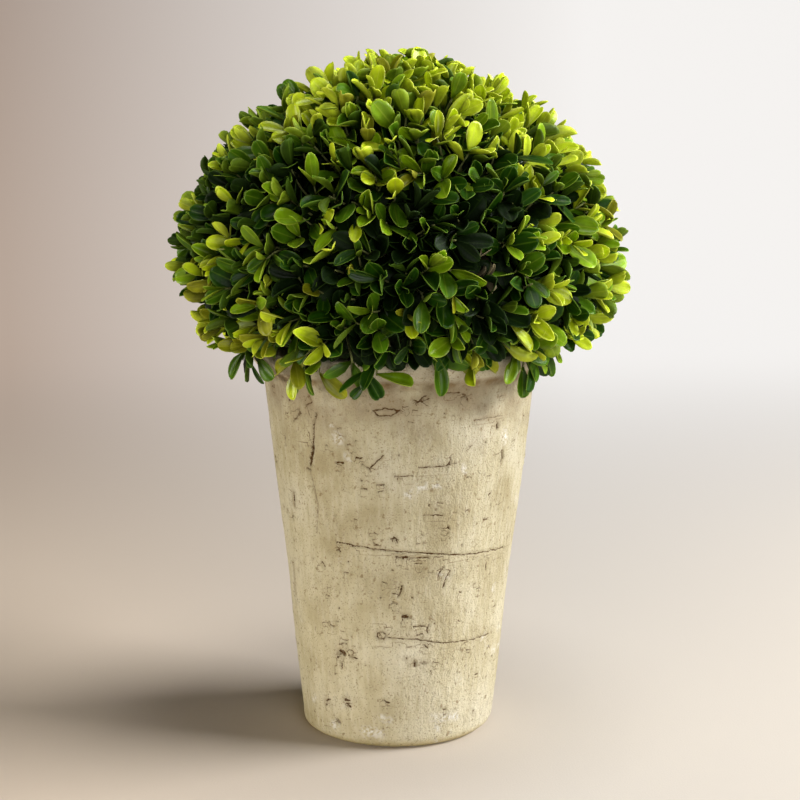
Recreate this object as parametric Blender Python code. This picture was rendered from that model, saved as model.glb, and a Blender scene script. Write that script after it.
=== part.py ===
"""Potted boxwood topiary: a clipped dome of sprigs on a short stem, in a tall cement pot cast like bark.

Metres, +Z up. The origin is the centre of the pot's flat underside. The front of the pot faces -Y.
"""

import math
import random

import bmesh
import bpy
from mathutils import Matrix, Vector
from mathutils.bvhtree import BVHTree

# Driving dimensions of the pot
POT_HEIGHT = 0.232
LIP_RADIUS = 0.0893
NECK_RADIUS = 0.0803
NECK_HEIGHT = 0.2140
FOOT_RADIUS = 0.0581
FOOT_ROUNDING = 0.0075
POT_WALL = 0.0100
POT_FLOOR = 0.0120
POT_WAIST = 0.0006
POT_LEAN = 0.0014
POT_SEGMENTS = 64
WALL_ROWS = 11
MOUTH_EASING = 0.0020
LIP_SECTION = ((0.34, 0.30), (0.60, 0.70), (0.78, 0.94), (0.90, 1.0), (1.0, 0.84))

# The pot is cast from a log, so it leans, is a little out of round and has one fold under the lip.
# Each wave round it has a count, a depth and a phase.
OUT_OF_ROUND = ((2, 0.0006, 0.6), (3, 0.0005, 2.1), (5, 0.0004, 4.0), (9, 0.0003, 1.2))
FOLD_AZIMUTH = math.radians(-43)
FOLD_WIDTH = math.radians(7)
FOLD_DEPTH = 0.0024
FOLD_HEIGHT = 0.187
FOLD_REACH = 0.030

# Soil and stem
CLEARANCE = 0.0003
SOIL_TOP = 0.2055
SOIL_MOUND = 0.0045
SOIL_CRUMB = 0.0011
SOIL_SEED = 7
SOIL_SEGMENTS = 32
SOIL_RINGS = 5
STEM_TOP = 0.2275
STEM_FOOT_RADIUS = 0.0125
STEM_RADIUS = 0.0070
STEM_LEAN = Vector((0.0020, 0.0010))
STEM_TAPER = 0.12
STEM_ROOT_LOBES = 4
STEM_LOBE_DEPTH = 0.05
ROOT_LOBE_DEPTH = 0.11
STEM_SEAT = 1.15 * STEM_FOOT_RADIUS
STEM_SEGMENTS = 14
STEM_ROWS = 7

# Driving dimensions of the crown. Its skirt hangs lowest at the lip and rises outwards.
CROWN_CENTRE = Vector((0.0012, 0.0, 0.2665))
CROWN_RADIUS = 0.1365
SKIRT_LOWEST = 0.2130
SKIRT_RISE = 0.72
CORE_RADIUS = 0.1100
CORE_UNDERSIDE = 0.2350
CORE_FOOT_RADIUS = 0.0935
CORE_SHOULDER = 0.2450
CORE_TOP_POLAR = math.radians(5)
STUB_TOP_RADIUS = 0.0077
STUB_FOOT_RADIUS = 0.0067
CORE_SEGMENTS = 26
CORE_ROWS = 8

# The crown's wood forks inside the core, and each sprig grows from the fork nearest to its place
BOUGH_COUNT = 17
BOUGH_REACH = 0.052
BOUGH_LOWEST_POLAR = math.radians(100)
SPRIG_SEED = 41
SPRIG_COUNT = 91
SPRIG_LOWEST_POLAR = math.radians(99)
SPRIG_JITTER = 0.07
SPRIG_SINK = 0.009
SPRIG_OUT = 0.0130
SPRIG_OUT_RANGE = (0.72, 1.15)
SKIRT_COUNT = 20
SKIRT_ROOT = 0.2405
SKIRT_DROOP = math.radians(32)
SKIRT_DROOP_RANGE = (0.7, 1.2)
SKIRT_OUT = 0.0085
SKIRT_OUT_RANGE = (0.8, 1.1)
SPRIG_RADIUS = 0.0021
SPRIG_TIP_RADIUS = 0.0013

# Leaves stand in opposite pairs, larger than life because they are fewer. Each pair has its place
# along the part of the sprig that shows, and its spread from the sprig's way in degrees.
LEAF_LENGTH = 0.0250
LEAF_WIDTH = 0.0150
LEAF_THICKNESS = 0.0013
LEAF_CUP = 0.0010
LEAF_SINK = 0.0006
LEAF_PAIRS = ((0.20, 76), (0.56, 56), (0.92, 34))
LEAF_PAIR_TURN = math.radians(82)
LEAF_SIZES = (0.86, 1.08)
LEAF_LOOSE_SPREAD = 9
LEAF_LOOSE_TURN = 0.5
LEAF_TRIES = 8
LEAF_NEIGHBOURS = 1.3 * LEAF_LENGTH
LIP_MARGIN = 0.0020
CORE_MARGIN = 0.0010

# Places along and across a blunt-ended leaf, and how far each lifts as it cups
LEAF_OUTLINE = ((0.0, 0.0, 0.0), (0.60, 0.50, 1.0), (0.98, 0.22, 0.3), (0.98, -0.22, 0.3), (0.60, -0.50, 1.0))
LEAF_KEEL = 5
LEAF_KEEL_ALONG = 0.56
LEAF_FACES = ((0, 4, 1), (1, 4, 3), (1, 3, 2)) + tuple((k, (k + 1) % 5, LEAF_KEEL) for k in range(5))


def smoothstep(value):
    """Ease from 0 to 1 as the value goes from 0 to 1."""
    value = min(1.0, max(0.0, value))
    return value * value * (3.0 - 2.0 * value)


def material(name, colour, roughness):
    """A plain Principled finish."""
    made = bpy.data.materials.new(name)
    made.use_nodes = True
    shader = made.node_tree.nodes["Principled BSDF"]
    shader.inputs["Base Color"].default_value = (*colour, 1.0)
    shader.inputs["Roughness"].default_value = roughness
    shader.inputs["Metallic"].default_value = 0.0
    return made


def add_object(name, bm, finish, smooth_angle=None):
    """A named object made from a bmesh, with its finish."""
    mesh = bpy.data.meshes.new(name)
    bm.to_mesh(mesh)
    bm.free()
    mesh.materials.append(finish)
    if smooth_angle is not None:
        mesh.shade_smooth()
        mesh.set_sharp_from_angle(angle=math.radians(smooth_angle))
    made = bpy.data.objects.new(name, mesh)
    bpy.context.scene.collection.objects.link(made)
    return made


def loft(rings):
    """A closed bmesh through rings of equal length, each listed anticlockwise from above, first to last."""
    bm = bmesh.new()
    rows = [[bm.verts.new(point) for point in ring] for ring in rings]
    for low, high in zip(rows, rows[1:]):
        for i in range(len(low)):
            j = (i + 1) % len(low)
            bm.faces.new((low[i], low[j], high[j], high[i]))
    bm.faces.new(reversed(rows[0]))
    bm.faces.new(rows[-1])
    bmesh.ops.recalc_face_normals(bm, faces=bm.faces)
    return bm


def circle(radius, height, segments, centre=(0.0, 0.0)):
    """Points of a level ring. The radius is a number, or a function of the azimuth from the front."""
    points = []
    for i in range(segments):
        azimuth = 2.0 * math.pi * i / segments
        reach = radius(azimuth) if callable(radius) else radius
        points.append((centre[0] + reach * math.sin(azimuth), centre[1] - reach * math.cos(azimuth), height))
    return points


def wall_radius(height):
    """The pot's mean outer radius between its rounded foot and its neck."""
    share = (height - FOOT_ROUNDING) / (NECK_HEIGHT - FOOT_ROUNDING)
    share = min(1.0, max(0.0, share))
    waist = POT_WAIST * math.sin(math.pi * share) ** 2
    return FOOT_RADIUS + (NECK_RADIUS - FOOT_RADIUS) * share - waist


def cast_relief(azimuth, height):
    """How far the cast wall stands out of its mean circle at a place."""
    out = sum(depth * math.cos(times * azimuth + phase) for times, depth, phase in OUT_OF_ROUND)
    turn = math.remainder(azimuth - FOLD_AZIMUTH, 2.0 * math.pi)
    across = math.exp(-((turn / FOLD_WIDTH) ** 2))
    along = math.exp(-(((height - FOLD_HEIGHT) / FOLD_REACH) ** 2))
    lean = POT_LEAN * math.sin(azimuth) * height / POT_HEIGHT
    return out + lean - FOLD_DEPTH * across * along


def pot_outline():
    """Height and mean radius up the outside of the pot, from the underside's edge to the lip's crest."""
    foot = FOOT_RADIUS - FOOT_ROUNDING
    outline = []
    for step in range(4):
        turn = math.radians(30 * step)
        outline.append((FOOT_ROUNDING * (1 - math.cos(turn)), foot + FOOT_ROUNDING * math.sin(turn)))
    for step in range(1, WALL_ROWS + 1):
        height = FOOT_ROUNDING + (NECK_HEIGHT - FOOT_ROUNDING) * step / WALL_ROWS
        outline.append((height, wall_radius(height)))
    flare = LIP_RADIUS - NECK_RADIUS
    rise = POT_HEIGHT - NECK_HEIGHT
    for up, out in LIP_SECTION:
        outline.append((NECK_HEIGHT + up * rise, NECK_RADIUS + out * flare))
    return outline


def inner_radius(height):
    """The radius of the pot's hollow, a plain cone inside the cast wall."""
    share = height / POT_HEIGHT
    return FOOT_RADIUS + (NECK_RADIUS - FOOT_RADIUS) * share - POT_WALL


def build_pot():
    """The cement pot: one wall with a rounded foot, a flared lip and a hollow for the soil."""
    rings = []
    for height, mean in pot_outline():
        share = smoothstep(height / FOOT_ROUNDING)
        rings.append(
            circle(lambda a, m=mean, h=height, s=share: m + s * cast_relief(a, h), height, POT_SEGMENTS)
        )
    mouth = inner_radius(POT_HEIGHT)
    rings.append(circle(mouth + MOUTH_EASING, POT_HEIGHT - 0.3 * MOUTH_EASING, POT_SEGMENTS))
    rings.append(circle(mouth, POT_HEIGHT - 2.0 * MOUTH_EASING, POT_SEGMENTS))
    rings.append(circle(inner_radius(POT_FLOOR), POT_FLOOR, POT_SEGMENTS))
    finish = material("cast_cement", (0.62, 0.54, 0.36), 0.85)
    add_object("pot", loft(rings), finish, smooth_angle=40)


def build_soil():
    """The filling of the pot, mounded a little towards a flat place under the stem."""
    rng = random.Random(SOIL_SEED)
    low = POT_FLOOR + CLEARANCE
    edge = SOIL_TOP - SOIL_MOUND
    side = inner_radius(edge) - 2 * CLEARANCE
    rings = [circle(inner_radius(low) - 2 * CLEARANCE, low, SOIL_SEGMENTS), circle(side, edge, SOIL_SEGMENTS)]
    for step in range(1, SOIL_RINGS):
        share = step / SOIL_RINGS
        ring = circle(side + (STEM_SEAT - side) * share, edge + SOIL_MOUND * share, SOIL_SEGMENTS)
        rings.append([(x, y, z - rng.uniform(0.0, SOIL_CRUMB)) for x, y, z in ring])
    rings.append(circle(STEM_SEAT, SOIL_TOP, SOIL_SEGMENTS))
    finish = material("potting_soil", (0.045, 0.028, 0.017), 0.95)
    add_object("soil", loft(rings), finish)


def stem_ring(height):
    """A lobed ring of the stem, which leans a little and widens to its root flare."""
    share = (height - SOIL_TOP) / (STEM_TOP - SOIL_TOP)
    flare = (STEM_FOOT_RADIUS - STEM_RADIUS) * (1 - share) ** 3
    lobes = STEM_LOBE_DEPTH + ROOT_LOBE_DEPTH * (1 - share) ** 2
    mean = STEM_RADIUS * (1 + STEM_TAPER * (1 - share)) + flare
    lean = STEM_LEAN * share
    return circle(lambda a: mean * (1 + lobes * math.cos(STEM_ROOT_LOBES * a)), height, STEM_SEGMENTS, lean)


def build_stem():
    """The short woody stem, from a flat cut on the soil to where the crown's own wood begins."""
    foot = SOIL_TOP + CLEARANCE
    rings = [stem_ring(foot + (STEM_TOP - foot) * step / STEM_ROWS) for step in range(STEM_ROWS + 1)]
    finish = material("stem_bark", (0.24, 0.18, 0.11), 0.9)
    add_object("stem", loft(rings), finish, smooth_angle=50)


def core_reach(height):
    """The core's radius at a height: a sphere, drawn in below its shoulder to clear the lip."""
    if height < CORE_UNDERSIDE or height > CROWN_CENTRE.z + CORE_RADIUS:
        return 0.0
    above = max(height, CORE_SHOULDER) - CROWN_CENTRE.z
    sphere = math.sqrt(CORE_RADIUS**2 - above**2)
    share = min(1.0, (height - CORE_UNDERSIDE) / (CORE_SHOULDER - CORE_UNDERSIDE))
    return CORE_FOOT_RADIUS + (sphere - CORE_FOOT_RADIUS) * share


def core_blank():
    """The dense inside of the crown: a dome with a flat underside and the top of the stem under it."""
    centre = CROWN_CENTRE.xy
    rings = [
        circle(STUB_FOOT_RADIUS, STEM_TOP + CLEARANCE, CORE_SEGMENTS, STEM_LEAN),
        circle(STUB_TOP_RADIUS, CORE_UNDERSIDE, CORE_SEGMENTS, STEM_LEAN),
        circle(CORE_FOOT_RADIUS, CORE_UNDERSIDE, CORE_SEGMENTS, centre),
    ]
    edge_polar = math.acos((CORE_SHOULDER - CROWN_CENTRE.z) / CORE_RADIUS)
    for step in range(CORE_ROWS + 1):
        polar = edge_polar + (CORE_TOP_POLAR - edge_polar) * step / CORE_ROWS
        height = CROWN_CENTRE.z + CORE_RADIUS * math.cos(polar)
        rings.append(circle(CORE_RADIUS * math.sin(polar), height, CORE_SEGMENTS, centre))
    return loft(rings)


def in_crown_space(point):
    """Whether a point lies between core and clipped outline, above the skirt and clear of the lip."""
    from_centre = point - CROWN_CENTRE
    if from_centre.length > CROWN_RADIUS:
        return False
    if point.z > CROWN_CENTRE.z:
        return from_centre.length > CORE_RADIUS + CORE_MARGIN
    if point.z > CORE_UNDERSIDE - CORE_MARGIN:
        return from_centre.xy.length > core_reach(max(point.z, CORE_UNDERSIDE)) + CORE_MARGIN
    out = point.xy.length
    return out > LIP_RADIUS + LIP_MARGIN and point.z > SKIRT_LOWEST + SKIRT_RISE * (out - LIP_RADIUS)


def spread_ways(count, lowest_polar):
    """Directions spread evenly over a dome by the golden angle, from its top down to a lowest polar angle."""
    golden = math.pi * (3.0 - math.sqrt(5.0))
    lowest = math.cos(lowest_polar)
    ways = []
    for i in range(count):
        rise = 1.0 - (1.0 - lowest) * (i + 0.5) / count
        spread = math.sqrt(max(0.0, 1.0 - rise * rise))
        ways.append(Vector((spread * math.cos(golden * i), spread * math.sin(golden * i), rise)))
    return ways


def across(way):
    """A unit vector square to a way."""
    return way.orthogonal().normalized()


def twig_mesh(root, tip):
    """A three-sided twig that narrows from its root to its tip."""
    way = (tip - root).normalized()
    side = across(way)
    bm = bmesh.new()
    rows = []
    for place, reach in ((root, SPRIG_RADIUS), (tip, SPRIG_TIP_RADIUS)):
        corners = [place + Matrix.Rotation(math.radians(120 * k), 3, way) @ side * reach for k in range(3)]
        rows.append([bm.verts.new(corner) for corner in corners])
    for k in range(3):
        n = (k + 1) % 3
        bm.faces.new((rows[0][k], rows[0][n], rows[1][n], rows[1][k]))
    bm.faces.new(reversed(rows[0]))
    bm.faces.new(rows[1])
    bmesh.ops.recalc_face_normals(bm, faces=bm.faces)
    return bm


def leaf_points(root, way, face, length):
    """Outline and keel of a leaf from its root along a way, its upper side looking towards face."""
    side = way.cross(face).normalized()
    width = LEAF_WIDTH * length / LEAF_LENGTH
    points = []
    for along, out, lift in LEAF_OUTLINE:
        points.append(root + way * (along * length) + side * (out * width) + face * (lift * LEAF_CUP))
    points.append(root + way * (LEAF_KEEL_ALONG * length) - face * (LEAF_THICKNESS - 0.6 * LEAF_CUP))
    return points


def leaf_mesh(points):
    """A closed leaf of eight faces."""
    bm = bmesh.new()
    corners = [bm.verts.new(point) for point in points]
    for face in LEAF_FACES:
        bm.faces.new([corners[k] for k in face])
    bmesh.ops.recalc_face_normals(bm, faces=bm.faces)
    return bm


def place_leaf(rng, joint, axis, turn, spread, placed):
    """Points of a leaf at a joint that keeps to the crown's space and crosses no other leaf, or None."""
    for _ in range(LEAF_TRIES):
        loose = rng.uniform(-LEAF_LOOSE_TURN, LEAF_LOOSE_TURN)
        out = Matrix.Rotation(turn + loose, 3, axis) @ across(axis)
        angle = math.radians(spread + rng.uniform(-LEAF_LOOSE_SPREAD, LEAF_LOOSE_SPREAD))
        way = (axis * math.cos(angle) + out * math.sin(angle)).normalized()
        upper = (axis * math.sin(angle) - out * math.cos(angle)).normalized()
        upper = Matrix.Rotation(rng.uniform(-LEAF_LOOSE_TURN, LEAF_LOOSE_TURN), 3, way) @ upper
        size = LEAF_LENGTH * rng.uniform(*LEAF_SIZES)
        points = leaf_points(joint - way * LEAF_SINK, way, upper, size)
        if not all(in_crown_space(point) for point in points[1:]):
            continue
        blade = [joint + way * (0.30 * size)] + points[1:]
        tree = BVHTree.FromPolygons(blade, LEAF_FACES)
        near = [other for keel, other in placed if (keel - points[LEAF_KEEL]).length < LEAF_NEIGHBOURS]
        if any(tree.overlap(other) for other in near):
            continue
        placed.append((points[LEAF_KEEL], tree))
        return points
    return None


def sprig_lines(rng):
    """Where each sprig leaves the core and where it ends: all over the dome, then in a skirt over the lip."""
    forks = [CROWN_CENTRE + way * BOUGH_REACH for way in spread_ways(BOUGH_COUNT, BOUGH_LOWEST_POLAR)]
    lines = []
    for way in spread_ways(SPRIG_COUNT, SPRIG_LOWEST_POLAR):
        way = (way + Vector([rng.uniform(-SPRIG_JITTER, SPRIG_JITTER) for _ in range(3)])).normalized()
        skin = CROWN_CENTRE + way * CORE_RADIUS
        fork = min(forks, key=lambda place: (place - skin).length)
        reach = SPRIG_OUT * rng.uniform(*SPRIG_OUT_RANGE)
        lines.append((skin, skin + (skin - fork).normalized() * reach))
    for i in range(SKIRT_COUNT):
        turn = 2 * math.pi * (i + rng.uniform(-0.25, 0.25)) / SKIRT_COUNT
        reach = core_reach(SKIRT_ROOT)
        skin = Vector((CROWN_CENTRE.x + reach * math.cos(turn), reach * math.sin(turn), SKIRT_ROOT))
        droop = SKIRT_DROOP * rng.uniform(*SKIRT_DROOP_RANGE)
        way = Vector((math.cos(turn) * math.cos(droop), math.sin(turn) * math.cos(droop), -math.sin(droop)))
        lines.append((skin, skin + way * SKIRT_OUT * rng.uniform(*SKIRT_OUT_RANGE)))
    return lines


def grow_sprigs(collection, finish):
    """Twigs and leaves that stand out of the core, each its own closed mesh in the collection."""
    rng = random.Random(SPRIG_SEED)
    placed = []
    for number, (skin, tip) in enumerate(sprig_lines(rng)):
        axis = (tip - skin).normalized()
        shapes = [twig_mesh(skin - axis * SPRIG_SINK, tip)]
        turn = rng.uniform(0.0, math.pi)
        for share, spread in LEAF_PAIRS:
            for half in (0.0, math.pi):
                points = place_leaf(rng, skin.lerp(tip, share), axis, turn + half, spread, placed)
                if points:
                    shapes.append(leaf_mesh(points))
            turn += LEAF_PAIR_TURN
        for k, bm in enumerate(shapes):
            made = add_object(f"sprig_{number:03d}_{k}", bm, finish)
            bpy.context.scene.collection.objects.unlink(made)
            collection.objects.link(made)


def keep_widest_body(mesh):
    """Drops loose scraps and sealed hollows: every island of faces but the largest."""
    bm = bmesh.new()
    bm.from_mesh(mesh)
    unseen = set(bm.verts)
    islands = []
    while unseen:
        stack = [unseen.pop()]
        island = set(stack)
        while stack:
            for edge in stack.pop().link_edges:
                for vert in edge.verts:
                    if vert in unseen:
                        unseen.remove(vert)
                        island.add(vert)
                        stack.append(vert)
        islands.append(island)
    islands.sort(key=len)
    spare = [vert for island in islands[:-1] for vert in island]
    bmesh.ops.delete(bm, geom=spare, context="VERTS")
    bm.to_mesh(mesh)
    bm.free()


def build_crown():
    """The clipped dome of foliage as one solid: core, twigs and leaves joined by a Boolean union."""
    finish = material("box_leaf", (0.060, 0.120, 0.018), 0.45)
    crown = add_object("crown_foliage", core_blank(), finish)
    collection = bpy.data.collections.new("sprigs")
    bpy.context.scene.collection.children.link(collection)
    grow_sprigs(collection, finish)
    union = crown.modifiers.new("join_sprigs", "BOOLEAN")
    union.operation = "UNION"
    union.operand_type = "COLLECTION"
    union.collection = collection
    union.solver = "EXACT"
    bpy.context.view_layer.update()
    evaluated = crown.evaluated_get(bpy.context.evaluated_depsgraph_get())
    joined = bpy.data.meshes.new_from_object(evaluated)
    crown.modifiers.clear()
    crown.data = joined
    crown.data.name = "crown_foliage"
    for sprig in list(collection.objects):
        bpy.data.objects.remove(sprig)
    bpy.data.collections.remove(collection)
    keep_widest_body(crown.data)


def main():
    for old in list(bpy.data.objects):
        bpy.data.objects.remove(old)
    build_pot()
    build_soil()
    build_stem()
    build_crown()


main()
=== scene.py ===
"""The looks of a potted boxwood topiary: a clipped dome on a short stem, in a cement pot cast from bark.

Metres, +Z up, the front of the pot towards -Y. Azimuths run from the front towards +X.
"""

import logging
from collections.abc import Callable, Iterator, Sequence
from contextlib import contextmanager
from dataclasses import dataclass, field
from enum import Enum
from math import atan2, cos, degrees, exp, hypot, pi, radians, sin, sqrt
from random import Random

import bmesh
import bpy
import numpy as np
from mathutils import Matrix, Vector, noise


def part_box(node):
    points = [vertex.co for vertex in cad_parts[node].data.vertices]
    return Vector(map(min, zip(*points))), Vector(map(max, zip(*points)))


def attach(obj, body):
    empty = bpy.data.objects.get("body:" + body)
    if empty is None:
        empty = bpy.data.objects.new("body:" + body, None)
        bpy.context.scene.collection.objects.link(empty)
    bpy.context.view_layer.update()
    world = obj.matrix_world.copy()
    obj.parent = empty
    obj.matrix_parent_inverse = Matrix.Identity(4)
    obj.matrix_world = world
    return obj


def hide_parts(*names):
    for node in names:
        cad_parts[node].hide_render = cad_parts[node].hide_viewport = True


log = logging.getLogger("topiary")
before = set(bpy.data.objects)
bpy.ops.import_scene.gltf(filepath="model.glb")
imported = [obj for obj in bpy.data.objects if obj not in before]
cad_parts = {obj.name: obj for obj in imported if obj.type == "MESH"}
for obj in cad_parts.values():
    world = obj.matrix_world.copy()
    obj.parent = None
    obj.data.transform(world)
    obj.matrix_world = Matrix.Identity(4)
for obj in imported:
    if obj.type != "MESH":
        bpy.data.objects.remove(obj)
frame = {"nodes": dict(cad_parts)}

BODY = "root"
UP = Vector((0.0, 0.0, 1.0))
Colour = tuple[float, float, float]
Place = tuple[float, float]
Path = tuple[Place, ...]
Look = tuple[float, float, float]
Array = np.ndarray
Limb = tuple[list[Vector], list[float]]
Material = bpy.types.Material
Mesh = bpy.types.Mesh
Piece = bpy.types.Object
Socket = bpy.types.NodeSocket


def deselect_all() -> None:
    """Goes back to object mode with nothing selected."""
    if bpy.context.object and bpy.context.object.mode != "OBJECT":
        bpy.ops.object.mode_set(mode="OBJECT")
    bpy.ops.object.select_all(action="DESELECT")


def take_up(piece: Piece) -> None:
    """Makes a piece the one that is selected and active.

    Args:
        piece: The object.
    """
    deselect_all()
    piece.select_set(True)
    bpy.context.view_layer.objects.active = piece


def take_new(name: str) -> Piece:
    """Names the object that an operator has just added.

    Args:
        name: Its name.

    Returns:
        The object.
    """
    piece = bpy.context.object
    piece.name = name
    piece.data.name = name
    return piece


@contextmanager
def editing(piece: Piece) -> Iterator[None]:
    """Opens a piece in edit mode with nothing selected, and closes it at the end.

    Args:
        piece: The mesh object to work on.
    """
    take_up(piece)
    bpy.ops.object.mode_set(mode="EDIT")
    bpy.ops.mesh.select_all(action="DESELECT")
    yield
    bpy.ops.object.mode_set(mode="OBJECT")
    piece.select_set(False)


def pick(piece: Piece, test: Callable[[Vector], bool]) -> int:
    """Selects the vertices whose place passes a test, and what lies between them.

    Args:
        piece: The object, open in edit mode.
        test: Says of a place whether it is wanted.

    Returns:
        How many vertices are selected.
    """
    shape = bmesh.from_edit_mesh(piece.data)
    for items in (shape.faces, shape.edges, shape.verts):
        for item in items:
            item.select = False
    count = 0
    for vert in shape.verts:
        if test(vert.co):
            vert.select = True
            count += 1
    shape.select_mode = {"VERT"}
    shape.select_flush_mode()
    bmesh.update_edit_mesh(piece.data, loop_triangles=False, destructive=False)
    return count


def apply_modifiers(piece: Piece) -> None:
    """Applies every modifier of a piece, first to last.

    Args:
        piece: The object.
    """
    take_up(piece)
    for modifier in list(piece.modifiers):
        bpy.ops.object.modifier_apply(modifier=modifier.name)


def extrude_rings(rings: Sequence[Place]) -> None:
    """Extrudes the selected level ring of edges through more rings, one after the other.

    Args:
        rings: The mean radius and height of each, the selected one first.
    """
    for (radius, height), (new_radius, new_height) in zip(rings, rings[1:]):
        bpy.ops.mesh.extrude_region_move()
        share = new_radius / radius
        bpy.ops.transform.resize(value=(share, share, 1.0), center_override=(0.0, 0.0, height))
        bpy.ops.transform.translate(value=(0.0, 0.0, new_height - height))


def close_off() -> None:
    """Draws the selected ring together into one point, and turns all faces of the piece outwards."""
    bpy.ops.mesh.merge(type="CENTER")
    bpy.ops.mesh.select_all(action="SELECT")
    bpy.ops.mesh.normals_make_consistent(inside=False)


def cut_rows(piece: Piece, length: float, cuts: int) -> None:
    """Cuts the wall of an upright cylinder into level rows.

    Args:
        piece: The cylinder, open in edit mode with nothing selected.
        length: Its height.
        cuts: How many level cuts are made.
    """
    bpy.ops.mesh.select_mode(type="EDGE")
    shape = bmesh.from_edit_mesh(piece.data)
    for edge in shape.edges:
        if abs(edge.verts[0].co.z - edge.verts[1].co.z) > 0.5 * length:
            edge.select_set(True)
    bmesh.update_edit_mesh(piece.data)
    bpy.ops.mesh.subdivide(number_cuts=cuts)


def set_origin(piece: Piece) -> None:
    """Puts a new primitive's place into its mesh, so that its object sits at the origin, unturned."""
    take_up(piece)
    bpy.ops.object.transform_apply(location=True, rotation=True, scale=True)


def face_corners(mesh: Mesh) -> Array:
    """The vertices of each face of a mesh whose faces have equal numbers of them."""
    return np.array([list(face.vertices) for face in mesh.polygons])


def shaken(rng: Random, reach: float) -> Vector:
    """A small step by chance, up to a reach along each axis."""
    return Vector([rng.uniform(-reach, reach) for _ in range(3)])


def nearest(places: list[Vector], place: Vector) -> Vector:
    """The one of some places that is nearest to another."""
    return min(places, key=lambda other: (other - place).length)


def bell(value: Array, width: float) -> Array:
    """A bell curve: 1 where the value is 0, and 0.37 one width away from there."""
    return np.exp(-((value / width) ** 2))


def smoothstep(value: Array | float) -> Array:
    """Eases from 0 to 1 as the value goes from 0 to 1."""
    value = np.clip(value, 0.0, 1.0)
    return value * value * (3.0 - 2.0 * value)


def coordinates(mesh: Mesh) -> Array:
    """Reads the places of a mesh's vertices.

    Args:
        mesh: The mesh.

    Returns:
        The places, one row for each.
    """
    places = np.empty(len(mesh.vertices) * 3, np.float32)
    mesh.vertices.foreach_get("co", places)
    return places.reshape(-1, 3).astype(float)


def move_vertices(mesh: Mesh, places: Array) -> None:
    """Puts a mesh's vertices at new places."""
    mesh.vertices.foreach_set("co", places.astype(np.float32).ravel())
    mesh.update()


def paint(mesh: Mesh, name: str, values: Array) -> None:
    """Keeps one number for each vertex in an attribute that a material can read."""
    mesh.attributes.new(name, "FLOAT", "POINT").data.foreach_set("value", values.astype(np.float32))


def finish_piece(piece: Piece, slot: str, *nodes: str) -> None:
    """Makes a finished piece part of the object.

    Args:
        piece: The piece.
        slot: Its material slot in the record; not used.
        nodes: The CAD nodes that it stands for.
    """
    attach(piece, BODY)
    if nodes:
        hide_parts(*nodes)
    piece.data.calc_loop_triangles()
    log.info("%s: %d triangles", piece.name, len(piece.data.loop_triangles))


def joined_mesh(name: str, points: Array, corners: Array, materials: list[Material],
                finishes: Array | None = None, flat: Array | None = None) -> Piece:
    """Joins many copies of one small shape into a single piece.

    Args:
        name: The piece's name.
        points: The vertices, by copy, vertex and axis.
        corners: The faces of one copy, by face and corner.
        materials: The piece's materials.
        finishes: Which material each face of one copy has.
        flat: Which faces of one copy are shaded flat.

    Returns:
        The piece.
    """
    copies, per_copy = points.shape[:2]
    faces, sides = corners.shape
    loops = (corners[None] + (np.arange(copies) * per_copy)[:, None, None]).astype(np.int32)
    mesh = bpy.data.meshes.new(name)
    mesh.vertices.add(copies * per_copy)
    mesh.vertices.foreach_set("co", points.astype(np.float32).ravel())
    mesh.loops.add(copies * faces * sides)
    mesh.loops.foreach_set("vertex_index", loops.ravel())
    mesh.polygons.add(copies * faces)
    mesh.polygons.foreach_set("loop_start", np.arange(0, copies * faces * sides, sides, dtype=np.int32))
    if finishes is not None:
        mesh.polygons.foreach_set("material_index", np.tile(finishes, copies).astype(np.int32))
    smooth = np.ones(faces, bool) if flat is None else ~flat
    mesh.polygons.foreach_set("use_smooth", np.tile(smooth, copies))
    mesh.update(calc_edges=True)
    for material in materials:
        mesh.materials.append(material)
    piece = bpy.data.objects.new(name, mesh)
    bpy.context.scene.collection.objects.link(piece)
    return piece


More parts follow.
